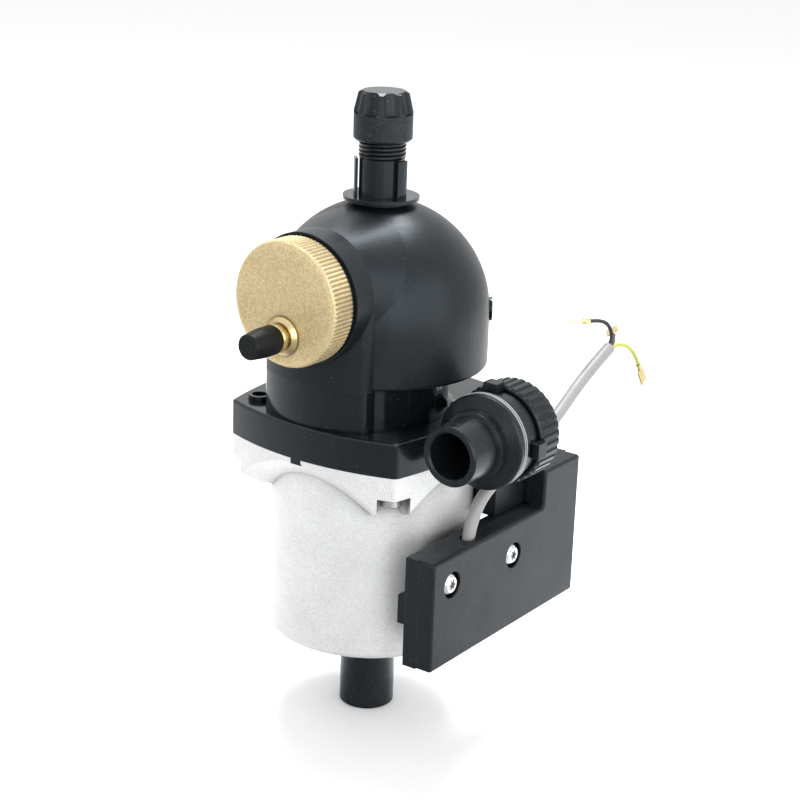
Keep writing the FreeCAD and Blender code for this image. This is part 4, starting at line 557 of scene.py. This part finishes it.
def grown(name, tree, material):
    """Runs a geometry tree on its own input values and keeps the result as a plain mesh."""
    seed = bpy.data.objects.new(name + "_seed", bpy.data.meshes.new(name + "_seed"))
    bpy.context.scene.collection.objects.link(seed)
    growth = seed.modifiers.new("growth", "NODES")
    growth.node_group = tree
    graph = bpy.context.evaluated_depsgraph_get()
    mesh = bpy.data.meshes.new_from_object(seed.evaluated_get(graph), depsgraph=graph)
    bpy.data.objects.remove(seed)
    mesh.name = name
    mesh.materials.clear()
    mesh.materials.append(material)
    made = bpy.data.objects.new(name, mesh)
    bpy.context.scene.collection.objects.link(made)
    return made


def thread_tree(radius, pitch, turns, ridge, base_height, steps):
    """A ridge that winds up a stub: a small four-sided profile along a helix."""
    tree, entry, leave = new_shape_tree("winding_thread", {
        "Radius": radius, "Pitch": pitch, "Turns": turns, "Ridge": ridge, "Base Height": base_height,
        "Steps": steps})

    def add(kind, settings=None, **values):
        """Adds a node; settings are its properties, values its inputs by name."""
        made = tree.nodes.new(kind)
        for key, value in (settings or {}).items():
            setattr(made, key, value)
        for key, value in values.items():
            tree.links.new(value, made.inputs[key.replace("_", " ")])
        return made

    height = add("ShaderNodeMath", {"operation": "MULTIPLY"})
    tree.links.new(entry["Pitch"], height.inputs[0])
    tree.links.new(entry["Turns"], height.inputs[1])
    helix = add("GeometryNodeCurveSpiral", Resolution=entry["Steps"], Rotations=entry["Turns"],
                Start_Radius=entry["Radius"], End_Radius=entry["Radius"], Height=height.outputs[0])
    upright = add("GeometryNodeSetCurveNormal", {"mode": "Z_UP"}, Curve=helix.outputs[0])
    profile = add("GeometryNodeCurvePrimitiveCircle", {"mode": "RADIUS"}, Radius=entry["Ridge"])
    profile.inputs["Resolution"].default_value = RIDGE_SIDES
    sweep = add("GeometryNodeCurveToMesh", Curve=upright.outputs[0], Profile_Curve=profile.outputs[0])
    sweep.inputs["Fill Caps"].default_value = True
    lift = add("ShaderNodeCombineXYZ", Z=entry["Base Height"])
    move = add("GeometryNodeTransform", Geometry=sweep.outputs[0], Translation=lift.outputs[0])
    tree.links.new(move.outputs[0], leave["Geometry"])
    return tree


def cut_thread():
    tree = thread_tree(
        radius=THREAD_CREST - THREAD_RIDGE, pitch=THREAD_PITCH,
        turns=float(int(THREAD_LENGTH / THREAD_PITCH) - 1), ridge=THREAD_RIDGE,
        base_height=thread_start + THREAD_RIDGE, steps=THREAD_STEPS)
    thread = grown("stub_thread", tree, stub_black)
    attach(thread, "pump")


cut_thread()


# Studio: area lights by place and size in metres and power in watts.
SOFT_BOXES = {
    "front_box": {"centre": (0.8, -1.15, 0.5), "size": (1.5, 1.2), "power": 5},
    "right_box": {"centre": (1.3, -0.25, 0.45), "size": (1.8, 1.3), "power": 11},
    "crown_box": {"centre": (-0.18, 0.34, 1.25), "size": (0.65, 0.55), "power": 20},
}
WHITE = (1, 1, 1, 1)
FLOOR_REACH = 30.0
FLOOR_GREY = 0.93
# Painted reflection: the floor's colour is darkened for glossy rays only, away from this side, as with a
# black card laid there.
BRIGHT_SIDE = Vector((-0.3, 0.95, 0)).normalized()
DARKEST_AT, BRIGHT_FROM = -0.95, 0.6
DARKEST_LEVEL = 0.22


def soft_box(name, centre, size, power):
    """A rectangular area light at a place, facing the pump's middle."""
    light = bpy.data.lights.new(name, "AREA")
    light.shape = "RECTANGLE"
    light.size, light.size_y = size
    light.energy = power
    made = bpy.data.objects.new(name, light)
    made.location = centre
    made.rotation_mode = "QUATERNION"
    made.rotation_quaternion = (AIM - Vector(centre)).to_track_quat("-Z", "Y")
    bpy.context.scene.collection.objects.link(made)


def lay_floor():
    corners = [(x * FLOOR_REACH, y * FLOOR_REACH, 0) for x, y in ((-1, -1), (1, -1), (1, 1), (-1, 1))]
    floor = bpy.data.meshes.new("floor")
    floor.from_pydata(corners, [], [(0, 1, 2, 3)])
    made = bpy.data.objects.new("floor", floor)
    bpy.context.scene.collection.objects.link(made)
    pale, build, shader, place = new_material("pale_floor", Roughness=0.8)
    side = build.vector_math("DOT_PRODUCT", build.vector_math("NORMALIZE", place), BRIGHT_SIDE)
    level = build.spread(side, DARKEST_AT, BRIGHT_FROM, DARKEST_LEVEL, 1.0)
    # Painted reflection: only glossy rays see the darker floor.
    mirrored = build.add("ShaderNodeLightPath").outputs["Is Glossy Ray"]
    shade = build.times(mirrored, build.minus(1.0, level))
    build.feed(shader, "Base Color", build.mix(shade, grey(FLOOR_GREY), BLACK))
    floor.materials.append(pale)


def set_studio():
    scene = bpy.context.scene
    scene.view_settings.view_transform = "Standard"
    world = bpy.data.worlds.new("studio")
    scene.world = world
    world.use_nodes = True
    background = next(entry for entry in world.node_tree.nodes if entry.type == "BACKGROUND")
    background.inputs["Color"].default_value = WHITE
    background.inputs["Strength"].default_value = 1.0
    for name, light in SOFT_BOXES.items():
        soft_box(name, **light)
    lay_floor()


set_studio()
